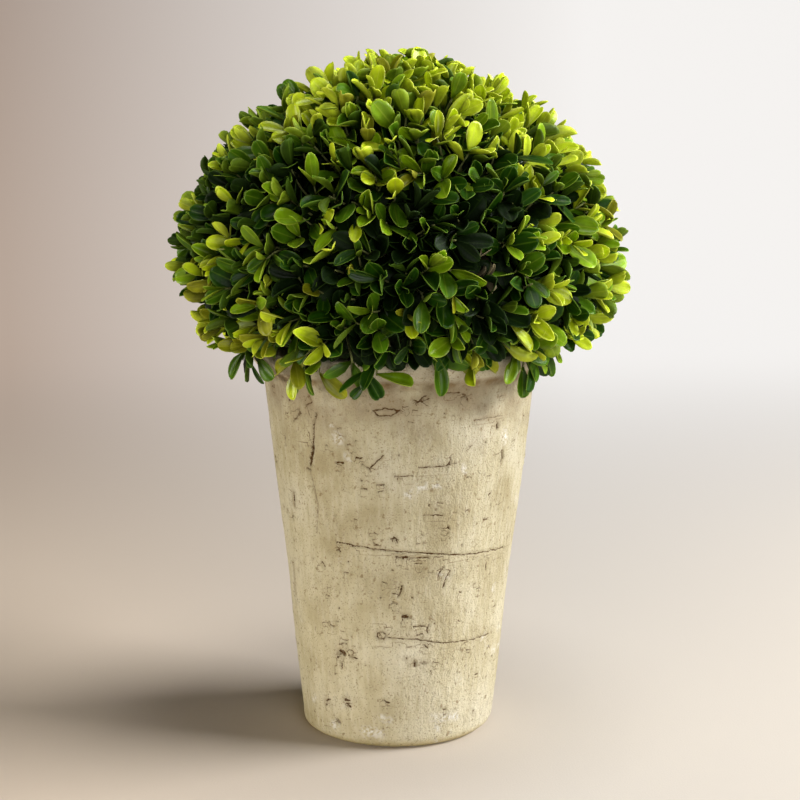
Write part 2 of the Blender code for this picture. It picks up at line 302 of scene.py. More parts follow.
class NodeBench:
    """Lays out the nodes of one material, so that a finish reads as a few lines."""

    def __init__(self, name: str) -> None:
        """Starts a material with its Principled shader.

        Args:
            name: The material's name.
        """
        self.material = bpy.data.materials.new(name)
        self.material.use_nodes = True
        self.tree = self.material.node_tree
        self.shader = self.tree.nodes["Principled BSDF"]
        self.place = self.tree.nodes.new("ShaderNodeTexCoord").outputs["Object"]

    def feed(self, socket: Socket, value: object) -> None:
        """Links a socket to another, or sets its value.

        Args:
            socket: The input socket.
            value: An output socket, or the value.
        """
        if isinstance(value, Socket):
            self.tree.links.new(value, socket)
        else:
            socket.default_value = value

    def put(self, kind: str, inputs: dict[str | int, object], **settings: object) -> bpy.types.Node:
        """Adds a node.

        Args:
            kind: The node's type.
            inputs: What goes into its sockets.
            settings: Its own properties.

        Returns:
            The node.
        """
        node = self.tree.nodes.new(kind)
        for name, value in settings.items():
            setattr(node, name, value)
        for key, value in inputs.items():
            self.feed(node.inputs[key], value)
        return node

    def noise(self, scale: float, detail: float = 2.0, stretch: Colour = (1.0, 1.0, 1.0),
              curl: float = 0.0) -> Socket:
        """Adds a noise pattern in the piece's own space.

        Args:
            scale: How fine it is.
            detail: How many finer layers it has.
            stretch: How dense it is along each axis.
            curl: How far it is distorted.

        Returns:
            The pattern's socket.
        """
        place = self.put("ShaderNodeMapping", {"Vector": self.place, "Scale": stretch}).outputs[0]
        inputs = {"Vector": place, "Scale": scale, "Detail": detail, "Distortion": curl}
        return self.put("ShaderNodeTexNoise", inputs).outputs[0]

    def ramp(self, factor: Socket, stops: Sequence[tuple[float, Colour]]) -> Socket:
        """Turns a factor into a colour.

        Args:
            factor: The socket with the factor.
            stops: Places from 0 to 1, each with its colour.

        Returns:
            The colour's socket.
        """
        node = self.put("ShaderNodeValToRGB", {"Fac": factor})
        band = node.color_ramp
        while len(band.elements) < len(stops):
            band.elements.new(0.5)
        for element, (place, colour) in zip(band.elements, stops):
            element.position = place
            element.color = (*colour, 1.0)
        return node.outputs["Color"]

    def levels(self, factor: object, low: float, high: float, to_low: float = 0.0,
               to_high: float = 1.0) -> Socket:
        """Spreads what lies between low and high over another range."""
        inputs = {"Value": factor, "From Min": low, "From Max": high, "To Min": to_low, "To Max": to_high}
        return self.put("ShaderNodeMapRange", inputs).outputs[0]

    def mix(self, factor: object, low: object, high: object, blend: str = "MIX") -> Socket:
        """Mixes two colours.

        Args:
            factor: The share of the second.
            low: The first, a socket or a colour.
            high: The second.
            blend: How they are mixed.

        Returns:
            The colour's socket.
        """
        low = (*low, 1.0) if isinstance(low, tuple) else low
        high = (*high, 1.0) if isinstance(high, tuple) else high
        inputs = {0: factor, 6: low, 7: high}
        return self.put("ShaderNodeMix", inputs, data_type="RGBA", blend_type=blend).outputs[2]

    def work(self, operation: str, first: object, second: object) -> Socket:
        """Does a sum on two numbers."""
        return self.put("ShaderNodeMath", {0: first, 1: second}, operation=operation).outputs[0]

    def attribute(self, name: str) -> Socket:
        """Reads a number that the piece's mesh holds for each vertex."""
        return self.put("ShaderNodeAttribute", {}, attribute_name=name).outputs["Fac"]

    def bump(self, height: Socket, distance: float, below: object = None) -> Socket:
        """Raises a bump.

        Args:
            height: The pattern that it follows.
            distance: How high it is.
            below: Another bump that it lies on.

        Returns:
            The normal's socket.
        """
        inputs = {"Height": height, "Distance": distance}
        if below is not None:
            inputs["Normal"] = below
        return self.put("ShaderNodeBump", inputs).outputs[0]

    def dress(self, **inputs: object) -> Material:
        """Feeds the shader's sockets, named in words joined by underscores.

        Args:
            inputs: What goes into the shader.

        Returns:
            The material.
        """
        for name, value in inputs.items():
            self.feed(self.shader.inputs[name.replace("_", " ")], value)
        return self.material


@dataclass(frozen=True)
class CementFinish:
    """Matt cast cement in cream and buff, streaked upright, with brown wash in its marks and chalk."""

    buff: Colour = (0.40, 0.34, 0.20)
    cream: Colour = (0.54, 0.485, 0.325)
    pale: Colour = (0.62, 0.575, 0.435)
    grey: Colour = (0.28, 0.22, 0.135)
    freckle: Colour = (0.21, 0.135, 0.055)
    wash: Colour = (0.080, 0.036, 0.009)
    ochre: Colour = (0.55, 0.44, 0.17)
    chalk: Colour = (0.76, 0.74, 0.68)
    neck_height: float = 0.214
    neck_reach: float = 0.045
    floor_bounce_band: Place = (0.06, 0.18)
    foot_band: Place = (0.0015, 0.0060)
    lip_highlight_band: Place = (0.2190, 0.2215)
    lip_shadow_bands: tuple[Place, Place] = ((0.2145, 0.2180), (0.2220, 0.2192))

    def material(self) -> Material:
        """Lays out the cement's nodes."""
        bench = NodeBench("cast_cement")
        clouds = bench.noise(26.0, 4.0)
        streaks = bench.noise(380.0, 4.0, (1.0, 1.0, 0.16))
        crease = self.crease(bench)
        colour = self.weathered(bench, clouds, streaks, crease)
        colour = self.speckled(bench, colour)
        colour = self.washed(bench, colour, clouds)
        grain = bench.bump(bench.noise(1000.0, 3.0), 0.0007)
        grain = bench.bump(bench.noise(330.0, 5.0, (1.0, 1.0, 0.60)), 0.0010, grain)
        grain = bench.bump(streaks, 0.0005, grain)
        grain = bench.bump(bench.levels(crease, 0.0, 1.0, 1.0, 0.0), 0.00018, grain)
        rough = bench.levels(clouds, 0.3, 0.7, 0.94, 0.80)
        return bench.dress(Base_Color=colour, Roughness=rough, Normal=grain, Specular_IOR_Level=0.25)

    def weathered(self, bench: NodeBench, clouds: Socket, streaks: Socket, crease: Socket) -> Socket:
        """Lays out the broad tones: clouds, streaks, grey blotches towards the neck and an ochre foot, with
        painted shade in the creases and under the lip, painted light low on the wall and a painted highlight
        on the lip's band.

        Args:
            bench: The material's bench.
            clouds: The broad pattern.
            streaks: The fine upright pattern.
            crease: The pattern of the creases.

        Returns:
            The colour.
        """
        colour = bench.ramp(clouds, [(0.32, self.buff), (0.50, self.cream), (0.70, self.pale)])
        colour = bench.mix(bench.levels(streaks, 0.50, 0.72, 0.0, 0.45), colour, self.pale)
        colour = bench.mix(bench.levels(streaks, 0.48, 0.28, 0.0, 0.45), colour, self.buff)
        height = bench.put("ShaderNodeSeparateXYZ", {0: bench.place}).outputs[2]
        # grey blotches that thicken up towards the neck
        band = bench.levels(height, self.neck_height - self.neck_reach, self.neck_height, 0.25, 1.0)
        neck_blotches = bench.work("MULTIPLY", bench.noise(55.0, 6.0), band)
        colour = bench.mix(bench.levels(neck_blotches, 0.24, 0.56, 0.0, 0.80), colour, self.grey)
        # painted shade: the colour is darker along the creases, on top of their bump
        colour = bench.mix(bench.levels(crease, 0.0, 1.0, 0.0, 0.13), colour, self.grey)
        # painted light: the wall is lighter low down, as if lit by light bounced off the floor, and a little
        # darker higher up
        colour = bench.mix(1.0, colour, bench.levels(height, *self.floor_bounce_band, 1.13, 0.98), "MULTIPLY")
        colour = bench.mix(bench.levels(height, *self.foot_band, 0.55, 0.0), colour, self.ochre)
        # painted highlight: the lip's band, from its lower edge up, is paler as if it caught the light
        colour = bench.mix(bench.levels(height, *self.lip_highlight_band, 0.0, 0.55), colour, self.pale)
        # painted shade: a blotchy brown band just under the lip, where the lip shades the wall
        rise, fall = [bench.levels(height, *band) for band in self.lip_shadow_bands]
        blots = bench.levels(bench.noise(120.0, 5.0), 0.42, 0.58, 0.10, 0.80)
        lip_shadow = bench.work("MULTIPLY", bench.work("MULTIPLY", rise, fall), blots)
        return bench.mix(lip_shadow, colour, self.freckle)

    def speckled(self, bench: NodeBench, colour: Socket) -> Socket:
        """Adds the specks of the sand, the freckles and the chalk.

        Args:
            bench: The material's bench.
            colour: The colour so far.

        Returns:
            The colour.
        """
        specks = bench.noise(1050.0, 2.0)
        colour = bench.mix(bench.levels(specks, 0.58, 0.70, 0.0, 0.75), colour, self.grey)
        freckles = bench.levels(bench.noise(330.0, 6.0), 0.62, 0.70, 0.0, 0.65)
        colour = bench.mix(freckles, colour, self.freckle)
        flecks = bench.levels(bench.noise(560.0, 5.0), 0.43, 0.55)
        chalked = bench.work("MULTIPLY", bench.attribute("chalk"), flecks)
        return bench.mix(chalked, colour, self.chalk)

    def washed(self, bench: NodeBench, colour: Socket, clouds: Socket) -> Socket:
        """Draws the brown wash along the marks: a thin ragged line with a faint stain round it.

        Args:
            bench: The material's bench.
            colour: The colour so far.
            clouds: The broad pattern, which thins the stain.

        Returns:
            The colour.
        """
        wander = bench.levels(bench.noise(850.0, 3.0), 0.2, 0.8, -0.8, 0.8)
        off_line = bench.work("ABSOLUTE", bench.work("ADD", bench.attribute("offset"), wander), 0.0)
        ink = bench.attribute("stain")
        halo = bench.work("MULTIPLY", bench.levels(off_line, 0.4, 4.5, 0.50, 0.0),
                          bench.levels(clouds, 0.35, 0.62))
        colour = bench.mix(bench.work("MULTIPLY", ink, halo), colour, self.freckle)
        broken = bench.levels(bench.noise(300.0, 5.0), 0.36, 0.56, 0.35, 1.45)
        line = bench.work("MULTIPLY", bench.levels(off_line, 0.30, 0.85, 1.0, 0.0), broken)
        return bench.mix(bench.work("MULTIPLY", ink, line), colour, self.wash)

    def crease(self, bench: NodeBench) -> Socket:
        """The short curled creases of the bark, in patches: 1 along a crease, 0 off it."""
        curls = bench.noise(210.0, 2.0, (1.0, 1.0, 0.6), 1.2)
        off = bench.work("ABSOLUTE", bench.work("SUBTRACT", curls, 0.5), 0.0)
        patches = bench.levels(bench.noise(38.0, 3.0), 0.46, 0.60)
        return bench.work("MULTIPLY", bench.levels(off, 0.0, 0.075, 1.0, 0.0), patches)


@dataclass(frozen=True)
class RoughFinish:
    """Rough matter with dark hollows, such as bark or potting mix."""

    name: str
    hollow: Colour
    ridge: Colour
    scale: float
    detail: float = 4.0
    stretch: Colour = (1.0, 1.0, 0.25)
    share: Place = (0.36, 0.62)
    roughness: Place = (0.95, 0.75)
    relief: float = 0.0006

    def material(self) -> Material:
        """Lays out the nodes.

        Returns:
            The material.
        """
        bench = NodeBench(self.name)
        lumps = bench.noise(self.scale, self.detail, self.stretch)
        low, high = self.share
        colour = bench.ramp(lumps, [(low, self.hollow), (high, self.ridge)])
        return bench.dress(Base_Color=colour, Roughness=bench.levels(lumps, 0.3, 0.7, *self.roughness),
                           Normal=bench.bump(lumps, self.relief))


UPPER, UNDER, RIM = range(3)


@dataclass(frozen=True)
class LeafFinish:
    """One tint of box leaf: its glossy upper side, its paler underside and its thin pale rim, whose paleness
    is partly the margin's own colour and partly a painted highlight where light catches the edge.
    """

    upper: Colour
    under: Colour
    rim: Colour
    roughness: float = 0.40
    gloss: float = 0.22

    def face(self, name: str, colour: Colour, roughness: float) -> Material:
        """Lays out the nodes of one side of the leaf.

        Args:
            name: The material's name.
            colour: The middle tone of this side.
            roughness: How matt it is.

        Returns:
            The material.
        """
        bench = NodeBench(name)
        mottle = bench.noise(110.0, 4.0)
        dark = tuple(0.60 * part for part in colour)
        light = tuple(1.35 * part for part in colour)
        tone = bench.ramp(mottle, [(0.32, dark), (0.68, light)])
        from_rib = bench.attribute("from_rib")
        tone = bench.mix(bench.levels(from_rib, 0.0, 0.11, 0.50, 0.0), tone, self.rim)
        # a pale edge: partly the margin's own paler green, partly a painted highlight where the light catches
        # it
        tone = bench.mix(bench.levels(from_rib, 0.80, 1.0, 0.0, 0.40), tone, self.rim)
        # painted shade darkens each leaf towards its foot, in the crowded middle of its rosette, and painted
        # light brightens its tip
        foot_shade_tip_light = bench.levels(bench.attribute("along"), 0.05, 0.85, 0.42, 1.16)
        tone = bench.mix(1.0, tone, foot_shade_tip_light, "MULTIPLY")
        rough = bench.levels(mottle, 0.3, 0.7, roughness - 0.05, roughness + 0.08)
        return bench.dress(Base_Color=tone, Roughness=rough, Normal=bench.bump(bench.noise(900.0), 0.00012),
                           Specular_IOR_Level=self.gloss)

    def materials(self, tint: str) -> list[Material]:
        """The finishes of the upper side, the underside and the rim, in that order."""
        return [
            self.face(f"leaf_{tint}_upper", self.upper, self.roughness),
            self.face(f"leaf_{tint}_under", self.under, self.roughness + 0.18),
            self.face(f"leaf_{tint}_rim", self.rim, self.roughness + 0.12),
        ]


class Tint(Enum):
    """The tints of the leaves, dealt out by spray. SHADE, DEEP, MID, FRESH and BRIGHT are mostly lit and
    shaded copies of one box green, painted light and shade, with some of the leaves' own spread of greens;
    OLIVE and DRIED are the leaves' own colours.
    """

    SHADE = LeafFinish((0.004, 0.013, 0.001), (0.008, 0.020, 0.001), (0.02, 0.045, 0.004), 0.50, 0.10)
    DEEP = LeafFinish((0.013, 0.052, 0.001), (0.036, 0.076, 0.003), (0.11, 0.20, 0.015), 0.38, 0.15)
    MID = LeafFinish((0.055, 0.135, 0.002), (0.090, 0.152, 0.005), (0.21, 0.31, 0.025), 0.36, 0.20)
    FRESH = LeafFinish((0.185, 0.325, 0.003), (0.205, 0.300, 0.008), (0.38, 0.48, 0.040), 0.36, 0.28)
    BRIGHT = LeafFinish((0.490, 0.610, 0.008), (0.460, 0.550, 0.015), (0.60, 0.66, 0.070), 0.38, 0.38)
    OLIVE = LeafFinish((0.235, 0.250, 0.006), (0.255, 0.262, 0.012), (0.39, 0.40, 0.040), 0.38)
    DRIED = LeafFinish((0.060, 0.048, 0.022), (0.090, 0.075, 0.040), (0.16, 0.13, 0.070), 0.60)


@dataclass(frozen=True)
class SoftBox:
    """A softbox that faces the plant: watts, sizes in metres, and its direction from it in degrees."""

    name: str
    power: float
    size: Place
    azimuth: float
    elevation: float
    distance: float
    colour: Colour
    aim: Place = (0.0, 0.2)

    def add(self) -> Piece:
        """Adds the light.

        Returns:
            The light's object.
        """
        azimuth, elevation = radians(self.azimuth), radians(self.elevation)
        level = cos(elevation)
        way = Vector((sin(azimuth) * level, -cos(azimuth) * level, sin(elevation)))
        place = Vector((0.0, *self.aim)) + way * self.distance
        bpy.ops.object.light_add(type="AREA", location=place, rotation=way.to_track_quat("Z", "Y").to_euler())
        lamp = take_new(self.name)
        lamp.data.energy = self.power
        lamp.data.shape = "RECTANGLE"
        lamp.data.size, lamp.data.size_y = self.size
        lamp.data.color = self.colour
        lamp.visible_camera = False
        return lamp


@dataclass
class Studio:
    """The camera, pale paper under and all round the plant, and large soft lights."""

    lens: float = 78.75
    sensor: float = 36.0
    camera_place: Vector = field(default_factory=lambda: Vector((0.00194, -1.0265, 0.3722)))
    camera_pitch: float = radians(9.7)
    floor_radius: float = 1.2
    cove_foot: float = 1.7
    cove_radius: float = 0.6
    cove_steps: int = 16
    wall_height: float = 1.6
    sides: int = 96
    floor_shade: Colour = (0.72, 0.60, 0.485)
    floor_light: Colour = (0.615, 0.565, 0.508)
    wall_paper: Colour = (0.16, 0.15, 0.14)
    glow_shade: Colour = (0.430, 0.335, 0.272)
    glow_top: Colour = (0.330, 0.255, 0.210)
    glow_light: Colour = (0.84, 0.825, 0.81)
    glow_height: float = 0.55
    fan_point: float = -1.0265
    fan_turn: float = 1.8
    fan_spread: Place = (-0.225, 0.105)
    floor_to_wall: Place = (0.05, 1.65)
    room_colour: Colour = (0.90, 0.87, 0.84)
    room_strength: float = 0.018
    lights: tuple[SoftBox, ...] = (
        SoftBox("key", 37.5, (1.05, 0.45), 87, 30, 1.6, (1.0, 0.995, 0.985)),
        SoftBox("front", 16.0, (0.90, 0.70), 14, 10, 1.9, (1.0, 0.98, 0.95)),
        SoftBox("top", 9.5, (0.72, 0.55), 60, 82, 1.5, (1.0, 0.99, 0.95)),
    )
    fill: SoftBox = SoftBox("fill", 15.8, (0.70, 0.25), -78, -2, 1.6, (1.0, 0.94, 0.80))

    def build(self) -> None:
        """Sets up the whole studio."""
        self.set_camera()
        paper = self.paper_material()
        floor, wall = self.build_floor(), self.build_wall()
        for sheet in (floor, wall):
            sheet.data.materials.append(paper)
        wall.visible_diffuse = False
        wall.visible_glossy = False
        for light in self.lights:
            light.add()
        self.fill.add().light_linking.receiver_collection = self.plant_only(floor, wall)
        world = bpy.data.worlds.new("studio")
        bpy.context.scene.world = world
        world.use_nodes = True
        room = world.node_tree.nodes["Background"].inputs
        room["Color"].default_value = (*self.room_colour, 1.0)
        room["Strength"].default_value = self.room_strength
        bpy.context.scene.view_settings.view_transform = "Standard"
        log.info("studio ready")

    @staticmethod
    def plant_only(*sheets: Piece) -> bpy.types.Collection:
        """Groups the paper as what a light passes by, as if black flags kept the lamp off it.

        Args:
            sheets: The paper's objects.

        Returns:
            A collection for lights that reach all but the paper.
        """
        group = bpy.data.collections.new("flagged_paper")
        for sheet in sheets:
            group.objects.link(sheet)
        for entry in group.collection_objects:
            entry.light_linking.link_state = "EXCLUDE"
        return group

    def set_camera(self) -> None:
        """Places the camera at the photograph's viewing angle."""
        turn = (pi / 2 - self.camera_pitch, 0.0, 0.0)
        bpy.ops.object.camera_add(location=self.camera_place, rotation=turn)
        camera = take_new("camera")
        camera.data.sensor_fit = "HORIZONTAL"
        camera.data.sensor_width = self.sensor
        camera.data.lens = self.lens
        bpy.context.scene.camera = camera

    def build_floor(self) -> Piece:
        """Makes the round sheet of paper that the pot stands on.

        Returns:
            The sheet.
        """
        deselect_all()
        bpy.ops.mesh.primitive_circle_add(vertices=self.sides, radius=self.floor_radius, fill_type="NGON")
        return take_new("paper_floor")

    def build_wall(self) -> Piece:
        """Makes the paper round the floor, which runs up in a cove into a wall on all sides.

        Returns:
            The wall, which is seen but throws no light back on the plant.
        """
        deselect_all()
        bpy.ops.mesh.primitive_circle_add(vertices=self.sides, radius=self.floor_radius, fill_type="NOTHING")
        wall = take_new("paper_wall")
        turns = [0.5 * pi * step / self.cove_steps for step in range(self.cove_steps + 1)]
        reach, foot = self.cove_radius, self.cove_foot
        cove = [(foot + reach * sin(turn), reach * (1.0 - cos(turn))) for turn in turns]
        outer, top = cove[-1]
        with editing(wall):
            bpy.ops.mesh.select_all(action="SELECT")
            extrude_rings([(self.floor_radius, 0.0), *cove, (outer, top + self.wall_height)])
            bpy.ops.mesh.select_all(action="SELECT")
            bpy.ops.mesh.normals_make_consistent(inside=True)
        wall.data.shade_smooth()
        return wall

    def paper_material(self) -> Material:
        """Lays out pale paper that glows at the back: warm and darker at the left, near white at the right,
        as painted shade and painted light; the glow is painted light too.

        Returns:
            The material.
        """
        bench = NodeBench("studio_paper")
        across, back, height = bench.put("ShaderNodeSeparateXYZ", {0: bench.place}).outputs
        ahead = bench.work("ADD", back, -self.fan_point)
        away = bench.work("MAXIMUM", ahead, bench.work("SUBTRACT", self.fan_turn, ahead))
        # painted shade on the left of the paper and painted light on the right
        tone = bench.levels(bench.work("DIVIDE", across, away), *self.fan_spread)
        start, end = self.floor_to_wall
        depth = {"Value": back, "From Min": start, "From Max": end}
        on_wall = bench.put("ShaderNodeMapRange", depth, interpolation_type="SMOOTHSTEP").outputs[0]
        colour = bench.mix(on_wall, bench.mix(tone, self.floor_shade, self.floor_light), self.wall_paper)
        # painted light: the wall glows, darker towards the top and lighter on the right
        shade = bench.mix(bench.levels(height, 0.0, self.glow_height), self.glow_shade, self.glow_top)
        glow = bench.mix(on_wall, (0.0, 0.0, 0.0), bench.mix(tone, shade, self.glow_light))
        fibres = bench.noise(900.0, 3.0)
        return bench.dress(Base_Color=colour, Roughness=bench.levels(fibres, 0.3, 0.7, 0.9, 1.0),
                           Normal=bench.bump(fibres, 0.0001), Specular_IOR_Level=0.1,
                           Emission_Color=glow, Emission_Strength=1.0)


@dataclass(frozen=True)
class Mark:
    """One mark of the bark in the pot's face, along places with an azimuth in degrees and a height."""

    path: Path
    width: float = 0.0006
    depth: float = 0.0005
    stain: float = 0.8
    chalk: float = 0.0
    raised: float = 0.25

    def jagged(self, rng: Random, radius: float, step: float = 0.0022) -> list[Vector]:
        """The mark's line on the unrolled wall, made to wander like a real crack.

        Args:
            rng: Where the wandering comes from.
            radius: The wall's mean radius there.
            step: The distance between two points.

        Returns:
            Points in metres round and up the wall.
        """
        corners = [Vector((radians(azimuth) * radius, height)) for azimuth, height in self.path]
        points = corners[:1]
        for start, end in zip(corners, corners[1:]):
            count = max(1, round((end - start).length / step))
            for k in range(1, count + 1):
                point = start.lerp(end, k / count)
                if k < count:
                    point = point + Vector((0.0, rng.gauss(0.0, 0.22 * self.width + 0.00012)))
                points.append(point)
        return points


def ring(azimuth: float, height: float, reach: float, radius: float) -> list[float]:
    """A small ring, such as a knot leaves.

    Args:
        azimuth: Its middle, in degrees.
        height: Its middle's height.
        reach: The ring's own radius.
        radius: The wall's radius there.

    Returns:
        Its azimuths and heights by turns.
    """
    wide = degrees(reach / radius)
    spots = []
    for turn in (2.0 * pi * k / 10 for k in range(11)):
        spots += [azimuth + wide * cos(turn), height + 0.85 * reach * sin(turn)]
    return spots


MarkLine = tuple[Mark, list[Vector]]
Row = tuple[Look | float, ...]
DASH: Look = (0.0006, 0.0005, 0.8)
FINE: Look = (0.00042, 0.0003, 0.6)
SCAR: Look = (0.0010, 0.0009, 0.85)


@dataclass(frozen=True)
class BarkMarks:
    """All the marks that the bark left: long cracks, the single ones of the front, and more all round.

    A row of a table is the mark's width, depth and stain, or only its width, and then its azimuths and
    heights by turns.
    """

    top: float
    crack_edge: float = 0.35
    cracks: tuple[Row, ...] = (
        ((0.00055, 0.0007, 0.85), -29, 0.1255, -22, 0.1251, -5, 0.1229, 20, 0.1195, 38, 0.1168, 64, 0.1144),
        ((0.00050, 0.0006, 0.75), -6, 0.0704, 9, 0.0687, 24, 0.0651, 43, 0.0635, 58, 0.0629),
        ((0.00055, 0.0007, 0.8), 104, 0.1480, 128, 0.1462, 150, 0.1475, 171, 0.1441),
        ((0.00055, 0.0006, 0.8), 150, 0.0880, 176, 0.0861, 201, 0.0872, 226, 0.0850),
        ((0.00050, 0.0006, 0.75), 224, 0.1740, 243, 0.1722, 262, 0.1729),
        ((0.00050, 0.0006, 0.75), 246, 0.0520, 268, 0.0531, 284, 0.0512),
        ((0.00050, 0.0006, 0.7), 92, 0.0450, 112, 0.0461, 127, 0.0446),
    )
    singles: tuple[Row, ...] = (
        ((0.0008, 0.0009, 0.8), -34.5, 0.2000, -36.8, 0.1935, -38.2, 0.1797, -40, 0.1720),
        ((0.0016, 0.0013, 0.75), -38.8, 0.1800, -40.4, 0.1735, -41.4, 0.1688),
        ((0.0009, 0.0006, 0.30), -41.5, 0.1668, -39.4, 0.1544, -38.1, 0.1461, -40.1, 0.1297),
        (DASH, -38, 0.2098, -36.7, 0.2066, -40.2, 0.2043), (FINE, -40.2, 0.2043, -39, 0.1985),
        ((0.0012, 0.0008, 0.55), -45.5, 0.2011, -44.5, 0.1984, -47.2, 0.1955, -49, 0.1935),
        ((0.0006, 0.0006, 0.85), -9.4, 0.2040, -4.4, 0.2058, 1.2, 0.2044, -2.2, 0.2014, -7.4, 0.2012,
         -9.4, 0.2040),
        (DASH, 7.6, 0.2078, 11.6, 0.2122), (DASH, 6.6, 0.2102, 9.6, 0.2092, 13, 0.2106),
        (FINE, 9.6, 0.2097, 12.4, 0.2066), (DASH, 19, 0.2139, 25.3, 0.2134),
        (DASH, 27, 0.2127, 28.6, 0.2111, 29.4, 0.2083), (FINE, 26.6, 0.2108, 30.8, 0.2117),
        (FINE, 2.2, 0.2067, 4.6, 0.2066), (FINE, 6.4, 0.2044, 8.4, 0.2042),
        ((0.0008, 0.0006, 0.8), 19.7, 0.2019), ((0.0009, 0.0006, 0.7), 26.5, 0.1978),
        (FINE, 33.3, 0.1966, 41, 0.1969, 49.6, 0.1964), (SCAR, 47, 0.1917, 47.4, 0.1890),
        ((0.0005, 0.0004, 0.7), 9.8, 0.1976), ((0.0007, 0.0005, 0.7), -16, 0.2116),
        (FINE, 46.6, 0.2080, 50.2, 0.2082), (SCAR, 52.5, 0.1752, 53.2, 0.1715, 52.6, 0.1688),
        ((0.0006, 0.0005, 0.75), -14.4, 0.1730, -11.6, 0.1708, -9.4, 0.1734, -5.5, 0.1783),
        (DASH, -11.6, 0.1708, -11, 0.1690), ((0.0009, 0.0007, 0.8), -26.2, 0.1728, -23.2, 0.1731),
        (FINE, -26.6, 0.1706, -24, 0.1704, -24.2, 0.1676, -26.8, 0.1678),
        (DASH, -17.2, 0.1768, -14.6, 0.1766),
        ((0.0006, 0.0005, 0.7), 9.5, 0.1714, 15, 0.1712, 21.3, 0.1713, 23.2, 0.1744),
        (FINE, 22.4, 0.1720, 25.8, 0.1728), (FINE, 23.2, 0.1744, 22.8, 0.1765),
        ((0.0005, 0.0004, 0.65), -0.7, 0.1667, 3, 0.1663, 6.9, 0.1665), (DASH, -8.6, 0.1613, -5.2, 0.1614),
        (DASH, -15.4, 0.1590, -13, 0.1586), ((0.0006, 0.0005, 0.7), -14.4, 0.1610),
        ((0.0010, 0.0009, 0.8), -54.2, 0.1500, -54.8, 0.1440, -55.2, 0.1411),
        ((0.0009, 0.0008, 0.8), -58.4, 0.1350, -58.6, 0.1330),
        ((0.0010, 0.0006, 0.45), -57.1, 0.1830, -57.2, 0.1775),
        (DASH, 12.3, 0.1431, 16.5, 0.1427, 20.7, 0.1425),
        ((0.0009, 0.0008, 0.9), 23.7, 0.1352, 24.4, 0.1343),
        ((0.00045, 0.0003, 0.45), *ring(22.1, 0.1318, 0.0021, 0.071)),
        ((0.0007, 0.0005, 0.6), 11.5, 0.1319, 12.2, 0.1310), (FINE, -12.6, 0.1322, -8.2, 0.1324),
        (DASH, -2.6, 0.1296, 0.6, 0.1292), (DASH, -1.2, 0.1308, 0.4, 0.1276),
        (DASH, -29, 0.1228, -27.2, 0.1200), (FINE, -27, 0.1224, -29.2, 0.1206),
        ((0.0009, 0.0007, 0.95), 0, 0.1188, 4.9, 0.1186),
        ((0.0007, 0.0006, 0.85), 5.8, 0.1181, 11, 0.1179, 15.3, 0.1175), (DASH, 8.8, 0.1146, 11.8, 0.1145),
        ((0.0008, 0.0006, 0.8), -37.6, 0.1118, -36.4, 0.1098), ((0.0007, 0.0005, 0.7), -43.1, 0.1130),
        ((0.0011, 0.0010, 0.9), -65.4, 0.1040, -66, 0.0980, -67.2, 0.0900, -67, 0.0840),
        (DASH, 22.6, 0.1116, 20.6, 0.1080, 20.2, 0.1050),
        ((0.0006, 0.0005, 0.75), 26.2, 0.1084, 24.4, 0.1050, 22.8, 0.0990),
        ((0.0006, 0.0005, 0.6), 50.6, 0.1108, 48.9, 0.1080, 49.4, 0.1046),
        (DASH, -6.6, 0.1040, -4.6, 0.1030), ((0.0008, 0.0007, 0.85), 2.6, 0.1014, 2, 0.0980, 0.6, 0.0950),
        (DASH, -2.2, 0.0970, 0.4, 0.0964), ((0.0009, 0.0007, 0.8), -1.8, 0.0918, 0.2, 0.0906),
        ((0.0014, 0.0012, 0.9), 3.4, 0.0830, 5.4, 0.0824), (FINE, 6.2, 0.0822, 8.4, 0.0808),
        (DASH, -36.6, 0.0928, -34.6, 0.0920), (FINE, -40.4, 0.0748, -37, 0.0754, -35.6, 0.0766),
        (FINE, -37, 0.0754, -36, 0.0736), ((0.0006, 0.0005, 0.75), 8.6, 0.0763, 12, 0.0765, 15.1, 0.0758),
        (DASH, 16.5, 0.0770, 15.6, 0.0745, 16.1, 0.0720),
        ((0.0007, 0.0006, 0.85), *ring(-7.7, 0.0714, 0.0026, 0.0645)), (FINE, -8.6, 0.0722, -7, 0.0706),
        (DASH, 14.6, 0.0646, 16.2, 0.0628), ((0.0020, 0.0015, 0.95), -30.4, 0.0584, -28, 0.0574),
        ((0.0006, 0.0004, 0.6), *ring(-24.6, 0.0592, 0.0020, 0.0635)), (DASH, -26, 0.0572, -21, 0.0560),
        (FINE, -30, 0.0672, -27.6, 0.0664, -25.4, 0.0668), (DASH, -30, 0.0518, -30.2, 0.0487),
        ((0.0008, 0.0007, 0.85), 9.3, 0.0552, 9.7, 0.0520), (FINE, 8.2, 0.0546, 10.6, 0.0540),
        (FINE, 19.6, 0.0540, 22.6, 0.0530), ((0.0008, 0.0006, 0.8), -42.2, 0.0258, -39.6, 0.0274),
        ((0.0009, 0.0006, 0.75), -29.4, 0.0296, -26.8, 0.0290),
        ((0.0009, 0.0007, 0.8), -28.4, 0.0272, -26.4, 0.0252),
        ((0.0016, 0.0008, 0.5), -35.2, 0.0150, -34, 0.0132), (DASH, -7, 0.0318, -4, 0.0300),
        (DASH, 60.4, 0.0548, 62, 0.0528),
    )
